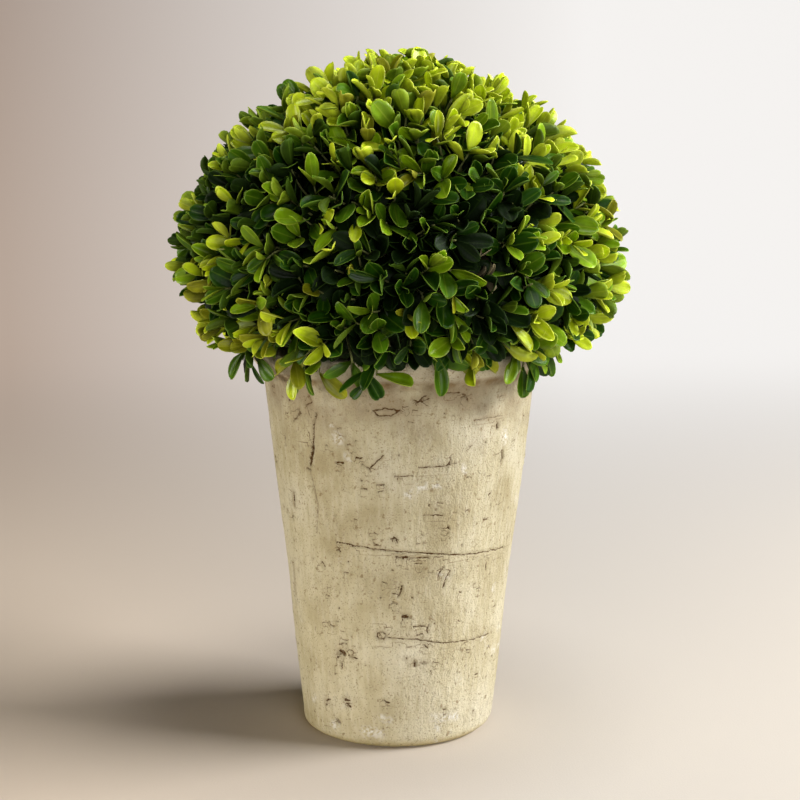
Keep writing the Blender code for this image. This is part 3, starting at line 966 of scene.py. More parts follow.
    chalk: tuple[Row, ...] = (
        (0.0011, 3.9, 0.1549, 8.2, 0.1579, 13.7, 0.1607, 19.3, 0.1603),
        (0.0026, -25.6, 0.1880, -24.6, 0.1862), (0.0012, -27.5, 0.1942),
        (0.0013, 29.9, 0.1694, 30.2, 0.1670), (0.0022, 53, 0.1850, 54, 0.1820),
        (0.0026, -18, 0.0106, -9.2, 0.0104), (0.0028, -37.4, 0.0113), (0.0018, -8, 0.0205, -4, 0.0190),
        (0.0022, 21.5, 0.0191, 29, 0.0176, 36.3, 0.0170), (0.0020, 23.5, 0.0120),
    )
    dashes: int = 150
    pits: int = 320
    nicks: int = 34
    chalk_spots: int = 40
    front_edge: float = 66
    nick_azimuths: Place = (75, 285)

    def marks(self, rng: Random) -> list[Mark]:
        """All the marks on the wall.

        Args:
            rng: Where the scattered marks come from.

        Returns:
            The marks.
        """
        made = [Mark(self.path(spots), *look, raised=self.crack_edge) for look, *spots in self.cracks]
        made += [Mark(self.path(spots), *look) for look, *spots in self.singles]
        made += [Mark(self.path(spots), width, 0.0, 0.0, 1.0, 0.0) for width, *spots in self.chalk]
        return made + self.scattered(rng)

    @staticmethod
    def path(spots: list[float]) -> Path:
        """The places of a mark, from azimuths and heights by turns."""
        return tuple(zip(spots[::2], spots[1::2]))

    def scattered(self, rng: Random) -> list[Mark]:
        """Dashes, pits, nicks and chalk strewn over the wall, with shorter dashes at the front.

        Args:
            rng: Where their places and sizes come from.

        Returns:
            The marks.
        """
        made = []
        top = self.top
        for _ in range(self.dashes):
            azimuth, height = rng.uniform(-180, 180), rng.uniform(0.012, top)
            length = rng.uniform(0.7, 4.6) * (0.6 if abs(azimuth) < self.front_edge else 1.0)
            tilt = rng.uniform(-0.0008, 0.0008)
            stain = rng.uniform(0.35, 0.85)
            made.append(Mark(((azimuth, height), (azimuth + length, height + tilt)),
                             rng.uniform(0.0004, 0.0008), rng.uniform(0.0002, 0.0006), stain))
        for _ in range(self.pits):
            azimuth, height = rng.uniform(-180, 180), rng.uniform(0.010, top)
            made.append(Mark(((azimuth, height),), rng.uniform(0.00035, 0.0009), rng.uniform(0.0002, 0.0007),
                             rng.uniform(0.3, 0.85)))
        for _ in range(self.nicks):
            azimuth, height = rng.uniform(*self.nick_azimuths), rng.uniform(0.02, top)
            reach = rng.uniform(0.0012, 0.0040)
            bend = rng.uniform(-2.0, 2.0)
            last = (azimuth + 0.4 * bend, height + reach)
            path = ((azimuth, height - reach), (azimuth + bend, height), last)
            made.append(Mark(path, rng.uniform(0.0006, 0.0012), rng.uniform(0.0005, 0.0011),
                             rng.uniform(0.6, 0.95)))
        for _ in range(self.chalk_spots):
            azimuth, height = rng.uniform(-180, 180), rng.uniform(0.010, top) * rng.uniform(0.2, 1.0)
            end = (azimuth + rng.uniform(0, 6), height + rng.uniform(-0.003, 0.003))
            made.append(Mark(((azimuth, height), end), rng.uniform(0.0008, 0.0022), 0.0, 0.0,
                             rng.uniform(0.3, 0.9), 0.0))
        return made


@dataclass
class CementPot:
    """The tall tapered pot: its wall with the marks of bark, its flared lip, its hollow and its flat foot."""

    height: float = 0.232
    lip_radius: float = 0.0893
    neck_radius: float = 0.0803
    neck_height: float = 0.2140
    foot_radius: float = 0.0581
    foot_rounding: float = 0.0075
    wall: float = 0.0100
    floor: float = 0.0120
    waist: float = 0.0006
    lean: float = 0.0014
    lip_section: tuple[Place, ...] = (
        (0.0, 0.0), (0.24, 0.08), (0.36, 0.40), (0.56, 0.72), (0.78, 0.95), (0.90, 1.0), (1.0, 0.84))
    lip_wave: float = 0.0011
    out_of_round: tuple[tuple[int, float, float], ...] = (
        (2, 0.0006, 0.6), (3, 0.0005, 2.1), (5, 0.0004, 4.0), (9, 0.0003, 1.2))
    far: float = 8.0
    fade: float = 0.0007
    fold_azimuth: float = radians(-43)
    fold_width: float = radians(7)
    fold_depth: float = 0.0024
    fold_height: float = 0.187
    fold_reach: float = 0.030
    swell_depth: float = 0.00045
    flute_depth: float = 0.00042
    fibre_depth: float = 0.00013
    grain_depth: float = 0.00008
    sides: int = 256
    rows: int = 128
    foot_rows: int = 7
    lip_rows: int = 18
    foot_start: float = radians(12)
    fine_margins: Place = (0.0022, 0.0009)
    cut_depth: float = 0.00025
    bare_foot: float = 0.010
    seed: int = 23

    def build(self, finish: CementFinish) -> None:
        """Models the pot, cuts its marks and dresses it.

        Args:
            finish: The cement.
        """
        rng = Random(self.seed)
        marks = BarkMarks(self.neck_height - 0.002).marks(rng)
        lines = [(mark, mark.jagged(rng, self.radius_at(mark.path[0][1]))) for mark in marks]
        deselect_all()
        bpy.ops.mesh.primitive_cylinder_add(vertices=self.sides, radius=self.neck_radius, depth=self.height,
                                            end_fill_type="NOTHING", location=(0.0, 0.0, 0.5 * self.height))
        pot = take_new("cement_pot")
        with editing(pot):
            cut_rows(pot, self.height, self.rows)
        set_origin(pot)
        self.set_rows(pot.data)
        for margin in self.fine_margins:
            self.refine(pot, lines, margin)
        self.sculpt(pot.data, lines)
        self.close(pot)
        pot.data.shade_smooth()
        pot.data.materials.append(finish.material())
        finish_piece(pot, "cast_cement", "pot")

    def set_rows(self, mesh: Mesh) -> None:
        """Spaces the rows, close in the rounded foot and the lip, and sets each at its mean radius.

        Args:
            mesh: The wall's mesh, with level rows.
        """
        turns = np.linspace(self.foot_start, 0.5 * pi, self.foot_rows)
        foot = self.foot_rounding * (1.0 - np.cos(turns))
        wall_rows = self.rows + 2 - self.foot_rows - self.lip_rows
        wall = np.linspace(self.foot_rounding, self.neck_height, wall_rows + 2)[1:-1]
        lip = np.linspace(self.neck_height, self.height, self.lip_rows)
        levels = np.concatenate([foot, wall, lip])
        places = coordinates(mesh)
        row = np.rint(places[:, 2] / self.height * (self.rows + 1)).astype(int)
        places[:, 2] = levels[np.clip(row, 0, len(levels) - 1)]
        azimuth = np.arctan2(places[:, 0], -places[:, 1])
        self.spread(places, azimuth, self.mean_radius(places[:, 2]))
        move_vertices(mesh, places)

    @staticmethod
    def spread(places: Array, azimuth: Array, radius: Array) -> None:
        """Sets the places' distance from the axis, at their azimuths."""
        places[:, 0] = radius * np.sin(azimuth)
        places[:, 1] = -radius * np.cos(azimuth)

    def radius_at(self, height: float) -> float:
        """The mean radius at one height."""
        return float(self.mean_radius(np.array([height]))[0])

    def mean_radius(self, height: Array) -> Array:
        """The pot's mean outer radius, from its foot to the crest of its lip.

        Args:
            height: Heights.

        Returns:
            The radius at each height.
        """
        share = np.clip((height - self.foot_rounding) / (self.neck_height - self.foot_rounding), 0.0, 1.0)
        radius = self.foot_radius + (self.neck_radius - self.foot_radius) * share
        radius = radius - self.waist * np.sin(pi * share) ** 2
        low = np.clip(1.0 - height / self.foot_rounding, 0.0, 1.0)
        radius = radius - self.foot_rounding * (1.0 - np.sqrt(1.0 - low**2))
        up = (height - self.neck_height) / (self.height - self.neck_height)
        ups, outs = zip(*self.lip_section)
        fine = np.linspace(0.0, 1.0, 91)
        raw = np.interp(fine, ups, outs)
        soft = np.convolve(np.pad(raw, 6, mode="edge"), np.hanning(13) / np.hanning(13).sum(), mode="valid")
        flare = np.interp(up, fine, soft)
        return radius + (self.lip_radius - self.neck_radius) * np.where(up > 0.0, flare, 0.0)

    def cast_relief(self, azimuth: Array, height: Array) -> Array:
        """How far the solid part's wall stands out of its mean circle.

        Args:
            azimuth: Azimuths in radians.
            height: Heights in metres.

        Returns:
            The distance at each place.
        """
        out = sum(depth * np.cos(times * azimuth + phase) for times, depth, phase in self.out_of_round)
        turn = np.angle(np.exp(1j * (azimuth - self.fold_azimuth)))
        along = bell(height - self.fold_height, self.fold_reach)
        fold = self.fold_depth * bell(turn, self.fold_width) * along
        lean = self.lean * np.sin(azimuth) * height / self.height
        return (out + lean - fold) * smoothstep(height / self.foot_rounding)

    def bark_swell(self, azimuth: Array, height: Array) -> Array:
        """The broad swells, upright flutes and fine fibres of the bark.

        Args:
            azimuth: Azimuths in radians.
            height: Heights in metres.

        Returns:
            How far each place stands out.
        """
        rng = np.random.default_rng(self.seed)
        swell = self.swell_depth * self.wall_noise(rng, azimuth, height, 9, 5)
        flutes = self.flute_depth * self.wall_noise(rng, azimuth, height, 30, 3)
        fibres = self.fibre_depth * self.wall_noise(rng, azimuth, height, 96, 9)
        grain = self.grain_depth * self.wall_noise(rng, azimuth, height, 120, 70)
        return swell + flutes + fibres + grain

    def wall_noise(self, rng: np.random.Generator, azimuth: Array, height: Array, around: int,
                   up: int) -> Array:
        """Smooth noise from -1 to 1 that closes on itself round the pot.

        Args:
            rng: Where the noise comes from.
            azimuth: Azimuths in radians.
            height: Heights.
            around: How many cells there are round the pot.
            up: How many there are up the wall.

        Returns:
            The noise at each place.
        """
        cells = rng.uniform(-1.0, 1.0, (up + 2, around))
        across = (azimuth / (2.0 * pi)) % 1.0 * around
        along = np.clip(height / self.height, 0.0, 1.0) * up
        column, row = np.floor(across).astype(int), np.floor(along).astype(int)
        side, rise = smoothstep(across - column), smoothstep(along - row)
        column = column % around
        after = (column + 1) % around
        low = cells[row, column] * (1.0 - side) + cells[row, after] * side
        high = cells[row + 1, column] * (1.0 - side) + cells[row + 1, after] * side
        return low * (1.0 - rise) + high * rise

    def near_marks(self, places: Array, lines: list[MarkLine],
                   reach: float) -> Iterator[tuple[Mark, Array, Array, Array]]:
        """Goes through the marks, with the places close to each.

        Args:
            places: Places on the wall, one row for each.
            lines: The marks and their points on the unrolled wall.
            reach: How many widths off its line count as close.

        Yields:
            The mark, the rows of the close places, their distance from its line, negative on one side,
            and how far they lie past its ends.
        """
        azimuth = np.arctan2(places[:, 0], -places[:, 1])
        order = np.argsort(places[:, 2])
        heights = places[order, 2]
        for mark, points in lines:
            radius = self.radius_at(mark.path[0][1])
            line = np.array([tuple(point) for point in points])
            margin = reach * mark.width + 0.0012
            first, last = np.searchsorted(heights, (line[:, 1].min() - margin, line[:, 1].max() + margin))
            rows = order[first:last]
            middle = 0.5 * (line[:, 0].min() + line[:, 0].max()) / radius
            turn = np.angle(np.exp(1j * (azimuth[rows] - middle)))
            flat = np.column_stack([(middle + turn) * radius, places[rows, 2]])
            close = (flat[:, 0] > line[:, 0].min() - margin) & (flat[:, 0] < line[:, 0].max() + margin)
            rows, flat = rows[close], flat[close]
            if len(rows) == 0:
                continue
            distance = np.linalg.norm(flat - line[0], axis=1)
            past = np.zeros(len(rows))
            for k, (start, end) in enumerate(zip(line, line[1:])):
                way = end - start
                length = sqrt(max(1e-12, way @ way))
                along = (flat - start) @ way / length**2
                held = np.clip(along, 0.0, 1.0)
                gap = np.linalg.norm(flat - start - held[:, None] * way, axis=1)
                side = np.sign(way[0] * (flat[:, 1] - start[1]) - way[1] * (flat[:, 0] - start[0]))
                nearer = gap < np.abs(distance)
                distance = np.where(nearer, gap * np.where(side < 0.0, -1.0, 1.0), distance)
                at_end = ((k == 0) & (along < 0.0)) | ((k == len(line) - 2) & (along > 1.0))
                past = np.where(nearer, np.where(at_end, np.abs(along - held) * length, 0.0), past)
            yield mark, rows, distance, past

    def refine(self, pot: Piece, lines: list[MarkLine], margin: float) -> None:
        """Halves the faces that lie close to a mark that is cut into the wall.

        Args:
            pot: The pot's object.
            lines: The marks with their points.
            margin: How far from a line the faces are halved.
        """
        mesh = pot.data
        centres = np.empty(len(mesh.polygons) * 3, np.float32)
        mesh.polygons.foreach_get("center", centres)
        centres = centres.reshape(-1, 3).astype(float)
        chosen = np.zeros(len(mesh.polygons), bool)
        for mark, rows, distance, _ in self.near_marks(centres, lines, 2.0):
            if mark.depth > self.cut_depth:
                chosen[rows[np.abs(distance) < margin + mark.width]] = True
        take_up(pot)
        mesh.vertices.foreach_set("select", np.zeros(len(mesh.vertices), bool))
        mesh.edges.foreach_set("select", np.zeros(len(mesh.edges), bool))
        mesh.polygons.foreach_set("select", chosen)
        bpy.context.tool_settings.mesh_select_mode = (False, False, True)
        bpy.ops.object.mode_set(mode="EDIT")
        bpy.ops.mesh.subdivide(number_cuts=1)
        bpy.ops.object.mode_set(mode="OBJECT")
        log.info("halved %d of %d faces", int(chosen.sum()), len(chosen))

    def sculpt(self, mesh: Mesh, lines: list[MarkLine]) -> None:
        """Gives the wall its relief, and keeps where brown wash and chalk lie.

        Args:
            mesh: The wall's mesh.
            lines: The marks with their points.
        """
        places = coordinates(mesh)
        azimuth = np.arctan2(places[:, 0], -places[:, 1])
        height = places[:, 2]
        swell = self.bark_swell(azimuth, height) * smoothstep(height / self.bare_foot)
        relief = self.cast_relief(azimuth, height) + swell
        stain, chalk = np.zeros(len(places)), np.zeros(len(places))
        offset = np.full(len(places), self.far)
        for mark, rows, distance, past in self.near_marks(places, lines, 6.0):
            core = bell(distance, mark.width)
            edge = bell(np.abs(distance) - 2.0 * mark.width, mark.width)
            relief[rows] += mark.depth * (mark.raised * edge - core)
            chalk[rows] = np.maximum(chalk[rows], mark.chalk * core)
            widths = distance / mark.width
            closest = (np.abs(widths) < np.abs(offset[rows])) & (mark.stain > 0.0)
            inked = rows[closest]
            offset[inked] = widths[closest]
            stain[inked] = mark.stain * bell(past[closest], self.fade)
        in_lip = smoothstep((height - 0.208) / 0.008) * smoothstep((0.229 - height) / 0.006)
        lip_rng = np.random.default_rng(self.seed + 1)
        wave = self.lip_wave * in_lip * self.wall_noise(lip_rng, azimuth, height, 17, 3)
        self.spread(places, azimuth, self.mean_radius(height + wave) + relief)
        move_vertices(mesh, places)
        paint(mesh, "stain", np.clip(stain, 0.0, 1.0))
        paint(mesh, "offset", offset)
        paint(mesh, "chalk", np.clip(chalk, 0.0, 1.0))

    def inner_radius(self, height: float) -> float:
        """The radius of the hollow, a plain cone inside the wall."""
        share = height / self.height
        return self.foot_radius + (self.neck_radius - self.foot_radius) * share - self.wall

    def close(self, pot: Piece) -> None:
        """Adds the top of the lip, the hollow with its floor, and the flat underside.

        Args:
            pot: The pot's wall.
        """
        crest, mouth = self.radius_at(self.height), self.inner_radius(self.height)
        inside = [(crest, 0.0), (crest - 0.0016, 0.0), (crest - 0.0050, -0.0001), (mouth + 0.0050, -0.0002),
                  (mouth + 0.0018, -0.0006), (mouth + 0.0003, -0.0022), (mouth - 0.0004, -0.0050)]
        inside += [(self.inner_radius(self.height - down), -down) for down in (0.014, 0.030, 0.120)]
        inside += [(self.inner_radius(self.floor), self.floor - self.height)]
        rings = [(radius, self.height + down) for radius, down in inside]
        radius, height = rings[-1]
        lowest = self.foot_rounding * (1.0 - cos(self.foot_start))
        flat = self.foot_radius - self.foot_rounding
        with editing(pot):
            bpy.ops.mesh.select_mode(type="VERT")
            pick(pot, lambda place: place.z > self.height - 1e-5)
            extrude_rings([*rings, (0.3 * radius, height)])
            bpy.ops.mesh.merge(type="CENTER")
            pick(pot, lambda place: place.z < lowest + 1e-5)
            start = (self.radius_at(lowest), lowest)
            extrude_rings([start, (flat, 0.0), (0.5 * flat, 0.0), (0.1 * flat, 0.0)])
            close_off()


@dataclass
class PottingSoil:
    """The filling of the pot: a mounded bed and the loose crumbs on it."""

    inner_foot: float = 0.0487
    mound: float = 0.0045
    flat: float = 0.0144
    sides: int = 72
    steps: int = 16
    dents: float = 0.0013
    dent_scale: float = 190.0
    crumbs: int = 900
    crumb_sizes: Place = (0.0005, 0.0019)
    crumb_margin: float = 0.003
    crumb_sink: float = 0.0006
    seed: int = 7

    def build(self, finish: RoughFinish) -> None:
        """Models the bed from the pot's floor to its uneven top, and its crumbs as a second piece.

        Args:
            finish: The soil's finish.
        """
        low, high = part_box("soil")
        reach, edge = high.x, high.z - self.mound
        deselect_all()
        bpy.ops.mesh.primitive_circle_add(vertices=self.sides, radius=self.inner_foot, fill_type="NGON",
                                          location=(0.0, 0.0, low.z))
        bed = take_new("soil_bed")
        set_origin(bed)
        shares = [step / self.steps for step in range(self.steps)]
        mound = [(reach + (self.flat - reach) * share, edge + self.mound * smoothstep(share))
                 for share in shares]
        radius, height = mound[-1]
        with editing(bed):
            bpy.ops.mesh.select_mode(type="EDGE")
            pick(bed, lambda place: True)
            bpy.ops.mesh.region_to_loop()
            extrude_rings([(self.inner_foot, low.z), *mound, (0.2 * radius, height)])
            close_off()
        places = coordinates(bed.data)
        for row in places:
            if row[2] > edge - 1e-5 and hypot(row[0], row[1]) < reach - 1e-4:
                row[2] -= self.dents * (0.5 + 0.5 * noise.noise(Vector(row) * self.dent_scale))
        move_vertices(bed.data, places)
        bed.data.shade_smooth()
        material = finish.material()
        bed.data.materials.append(material)
        finish_piece(bed, "potting_soil", "soil")
        self.build_crumbs(edge, reach, material)

    def build_crumbs(self, edge: float, reach: float, material: Material) -> None:
        """Strews small lumps over the bed and joins them into one piece.

        Args:
            edge: The height of the bed's edge.
            reach: The bed's radius.
            material: The finish.
        """
        rng = Random(self.seed)
        deselect_all()
        bpy.ops.mesh.primitive_ico_sphere_add(subdivisions=1, radius=1.0)
        lump = take_new("lump")
        shape, corners = coordinates(lump.data), face_corners(lump.data)
        bpy.data.objects.remove(lump)
        points = []
        for _ in range(self.crumbs):
            out = (reach - self.crumb_margin) * sqrt(rng.random())
            turn = rng.uniform(0.0, 2.0 * pi)
            size = rng.uniform(*self.crumb_sizes)
            if out < self.flat + size:
                continue
            bed = edge + self.mound * smoothstep((reach - out) / (reach - self.flat))
            squeeze = Vector((rng.uniform(0.6, 1.2), rng.uniform(0.6, 1.2), rng.uniform(0.5, 0.9))) * size
            spin = np.array(Matrix.Rotation(rng.uniform(0.0, 6.28), 3, "Z"))
            place = np.array((out * cos(turn), out * sin(turn), float(bed - self.crumb_sink)))
            points.append(shape * np.array(squeeze) @ spin.T + place)
        crumbs = joined_mesh("soil_crumbs", np.array(points), corners, [material])
        finish_piece(crumbs, "potting_soil")


@dataclass
class ShortStem:
    """The woody stem between the soil and the crown, with its root flare and the relief of its bark."""

    foot_radius: float = 0.0125
    radius: float = 0.0070
    lean: Vector = field(default_factory=lambda: Vector((0.0020, 0.0010, 0.0)))
    swelling: float = 0.12
    lobes: int = 4
    lobe_depths: Place = (0.05, 0.11)
    ridge_depth: float = 0.0006
    ridge_scales: Place = (4.5, 150.0)
    sharp: float = radians(60)
    sides: int = 64
    rows: int = 30

    def build(self, finish: RoughFinish) -> None:
        """Models the stem on the place of its solid.

        Args:
            finish: The bark.
        """
        low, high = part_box("stem")
        length = high.z - low.z
        deselect_all()
        bpy.ops.mesh.primitive_cylinder_add(vertices=self.sides, radius=self.radius, depth=length,
                                            location=(0.0, 0.0, 0.5 * (low.z + high.z)))
        stem = take_new("stem_wood")
        set_origin(stem)
        with editing(stem):
            cut_rows(stem, length, self.rows)
        places = coordinates(stem.data)
        turn = np.arctan2(places[:, 0], -places[:, 1])
        share = (places[:, 2] - low.z) / length
        flare = (self.foot_radius - self.radius) * (1.0 - share) ** 3
        shallow, deep = self.lobe_depths
        lobes = 1.0 + (shallow + deep * (1.0 - share) ** 2) * np.cos(self.lobes * turn)
        around, up = self.ridge_scales
        ridges = np.array([noise.noise(Vector((around * sin(a), around * cos(a), up * z)))
                           for a, z in zip(turn, places[:, 2])])
        thick = self.radius * (1.0 + self.swelling - self.swelling * share) + flare
        reach = thick * lobes + self.ridge_depth * ridges
        middle = np.array(self.lean)[None] * share[:, None]
        places[:, 0] = middle[:, 0] + reach * np.sin(turn)
        places[:, 1] = middle[:, 1] - reach * np.cos(turn)
        move_vertices(stem.data, places)
        stem.data.shade_smooth()
        stem.data.set_sharp_from_angle(angle=self.sharp)
        stem.data.materials.append(finish.material())
        finish_piece(stem, "stem_bark", "stem")


@dataclass(frozen=True)
class LeafForm:
    """One form of box leaf: its width as a share of its length, and how it cups, curls and twists."""

    width: float
    fullness: float
    cup: float
    curl: float
    twist: float = 0.0
    notch: float = 0.0


class Grade(Enum):
    """The grades of leaf: their pieces' name, the faces across and along a leaf, and the most in a piece."""

    FINE = ("leaves", 4, 6, 1400)
    PLAIN = ("inner_leaves", 2, 4, 3000)


@dataclass(frozen=True)
class LeafShape:
    """The mesh of one leaf, its foot at the origin, along +Y with its upper side towards +Z."""

    points: Array
    corners: Array
    finishes: Array
    from_rib: Array
    along: Array


@dataclass
class LeafMaker:
    """Models the forms of leaf that the whole crown is made of."""

    length: float = 0.0200
    thickness: float = 0.00028
    keel: float = 0.0002
    last_row: float = 0.985
    row_crowding: float = 1.45
    tip_rounding: float = 0.012
    draw_in: float = 0.30
    parking: float = 3.0
    forms: tuple[LeafForm, ...] = (
        LeafForm(0.56, 0.60, 0.42, 0.02, 4),
        LeafForm(0.50, 0.66, 0.70, 0.05),
        LeafForm(0.60, 0.58, 0.20, -0.07, -6),
        LeafForm(0.53, 0.70, 0.50, 0.10, 0, 0.02),
        LeafForm(0.41, 0.50, 0.38, -0.04, -14),
        LeafForm(0.52, 0.62, 0.22, -0.17, 8),
        LeafForm(0.45, 0.56, 0.35, 0.03, 24),
        LeafForm(0.57, 0.68, 0.40, 0.06, -10, 0.03),
        LeafForm(0.48, 0.60, 0.85, -0.10, 10),
    )

    def model(self, form: LeafForm, columns: int, rows: int) -> LeafShape:
        """Models one leaf from a flat grid.

        Args:
            form: The leaf's form.
            columns: Faces across it, an even number.
            rows: Faces along it.

        Returns:
            The leaf's mesh as arrays.
        """
        deselect_all()
        bpy.ops.mesh.primitive_grid_add(x_subdivisions=columns, y_subdivisions=rows, size=1.0,
                                        location=(0.0, 0.5, 0.0))
        leaf = take_new("leaf_form")
        set_origin(leaf)
        grid = coordinates(leaf.data)
        with editing(leaf):
            bpy.ops.mesh.select_mode(type="VERT")
            for row in [*range(rows, rows // 2, -1), *range(rows // 2 + 1)]:
                self.shape_row(leaf, form, row / rows, columns)
        twist = leaf.modifiers.new("twist", "SIMPLE_DEFORM")
        twist.deform_method = "TWIST"
        twist.deform_axis = "Y"
        twist.angle = radians(form.twist)
        blade = leaf.modifiers.new("blade", "SOLIDIFY")
        blade.thickness = self.thickness
        blade.offset = -1.0
        blade.material_offset = UNDER
        blade.material_offset_rim = RIM
        for _ in (UPPER, UNDER, RIM):
            leaf.data.materials.append(None)
        apply_modifiers(leaf)
        finishes = np.array([face.material_index for face in leaf.data.polygons])
        shape = LeafShape(coordinates(leaf.data), face_corners(leaf.data), finishes,
                          np.tile(2.0 * np.abs(grid[:, 0]), 2), np.tile(grid[:, 1], 2))
        bpy.data.objects.remove(leaf)
        return shape

    def shape_row(self, leaf: Piece, form: LeafForm, share: float, columns: int) -> None:
        """Draws one row of the grid in to the leaf's outline, and lifts it into its cup and curl.

        The row is parked far off while it is shaped, so that no other row is picked with it.

        Args:
            leaf: The grid, open in edit mode.
            form: The leaf's form.
            share: The row's place along the grid, from 0 to 1.
            columns: Faces across the grid.
        """
        along = self.last_row * (1.0 - (1.0 - share) ** self.row_crowding) if share > 0.0 else 0.0
        wide = form.width * self.half_outline(along, form.fullness)
        half = 0.5 * wide * self.length
        level = self.parking + along * self.length
        pick(leaf, lambda place: abs(place.y - share) < 1e-4 and abs(place.x) < 0.51)
        bpy.ops.transform.resize(value=(2.0 * self.length, 1.0, 1.0), center_override=(0.0, share, 0.0))
        bpy.ops.transform.translate(value=(0.0, level - share, 0.0))
        for k in range(columns // 2 + 1):
            out = 2.0 * k / columns
            side = out * self.length
            pick(leaf, lambda place: abs(place.y - level) < 1e-5 and abs(abs(place.x) - side) < 1e-5)
            lift = form.cup * half * out**2 + form.curl * self.length * along**2 - self.keel * (k == 0)
            tip = self.tip_rounding * (1.0 - out**2) - form.notch * (k == 0) if share == 1.0 else 0.0
            narrow = 0.5 * wide * (1.0 - self.draw_in * min(1.0, form.cup) ** 2 * out)
            bpy.ops.transform.resize(value=(narrow, 1.0, 1.0), center_override=(0.0, level, 0.0))
            bpy.ops.transform.translate(value=(0.0, tip * self.length - self.parking, lift))

    @staticmethod
    def half_outline(along: float, fullness: float) -> float:
        """The blade's half width at a place along it, as a share of the widest.

        Args:
            along: The place, from the foot at 0 to the tip at 1.
            fullness: Where the blade is widest.

        Returns:
            The share, from 0 to 1.
        """
        if along < fullness:
            rise = sin(0.5 * pi * along / fullness)
            return 0.085 + 0.915 * rise**1.25
        return sqrt(max(0.02, 1.0 - ((along - fullness) / (1.0 - fullness)) ** 2.2))


class LeafRoom:
    """The leaves that are in place, kept as flat ovals, to see whether a new one would cut through one."""

    OVAL = [(cos(2.0 * pi * k / 10), sin(2.0 * pi * k / 10)) for k in range(10)]
    OVERLAP = 0.80

    def __init__(self, capacity: int, reach: float) -> None:
        """Makes an empty room.

        Args:
            capacity: The most leaves that it may hold.
            reach: The distance within which two leaves can touch.
        """
        self.count = 0
        self.reach = reach
        self.centres = np.zeros((capacity, 3))
        self.frames = np.zeros((capacity, 3, 3))
        self.halves = np.ones((capacity, 2))
        self.rims = np.zeros((capacity, len(self.OVAL), 3))

    @classmethod
    def pierces(cls, rims: Array, centres: Array, frames: Array, halves: Array) -> bool:
        """Whether the rim of any leaf passes through the oval of the one that it is set against.

        Args:
            rims: The points of each leaf's rim.
            centres: The middle of each other leaf.
            frames: The ways across, along and out of each other leaf.
            halves: Half the width and half the length of each other leaf.

        Returns:
            Whether any does.
        """
        local = np.einsum("npk,njk->npj", rims - centres[:, None], frames)
        after = np.roll(local, -1, axis=1)
        near, far = local[..., 2], after[..., 2]
        share = near / np.where(np.abs(near - far) < 1e-12, 1e-12, near - far)
        cut = local[..., :2] + (after[..., :2] - local[..., :2]) * share[..., None]
        inside = ((cut / halves[:, None]) ** 2).sum(axis=2) < cls.OVERLAP
        return bool(((near * far < 0.0) & inside).any())

    def admit(self, centre: Vector, side: Vector, way: Vector, face: Vector, halves: Place) -> bool:
        """Takes a leaf in if it cuts through no other.

        Args:
            centre: The middle of its blade.
            side: The unit way across it.
            way: The unit way along it.
            face: The unit way that its upper side looks.
            halves: Half its width and half its length.

        Returns:
            Whether it was taken in.
        """
        middle = np.array(centre)
        ways = np.array((side, way, face))
        rim = middle + np.array([side * (halves[0] * c) + way * (halves[1] * s) for c, s in self.OVAL])
        gaps = ((self.centres[: self.count] - middle) ** 2).sum(axis=1)
        near = np.flatnonzero(gaps < self.reach**2)
        if len(near):
            own, *oval = [np.broadcast_to(part, (len(near), *part.shape))
                          for part in (rim, middle, ways, np.array(halves))]
            if self.pierces(own, self.centres[near], self.frames[near], self.halves[near]):
                return False
            if self.pierces(self.rims[near], *oval):
                return False
        k = self.count
        self.centres[k], self.frames[k], self.halves[k], self.rims[k] = middle, ways, halves, rim
        self.count += 1
        return True


@dataclass
class Leaf:
    """One leaf in its place: which form and tint it has, and the frame that its mesh is set in."""

    form: int
    tint: Tint
    grade: Grade
    foot: Vector
    frame: Matrix


@dataclass(frozen=True)
class LeafPair:
    """A pair of opposite leaves: how far below the sprig's tip, how widely spread and how large it is."""

    below_tip: float
    spread: float
    size: float
    grade: Grade


@dataclass(frozen=True)
class LeafHabit:
    """The ranges by chance of how a leaf sits on its sprig, and how they widen with each try to find room."""

    tries: int = 7
    widening: float = 0.2
    turn: float = 0.35
    more_turn: float = 0.06
    spread: Place = (-17, 20)
    tilt: float = 0.42
    outward_rise: float = 0.4
    sizes: Place = (0.80, 1.16)
    smaller: float = 0.96
    widths: Place = (0.88, 1.10)
    cups: Place = (0.65, 1.35)
    dried_size: float = 0.60
    dried_cup: float = 2.6
    slack: float = 0.0012


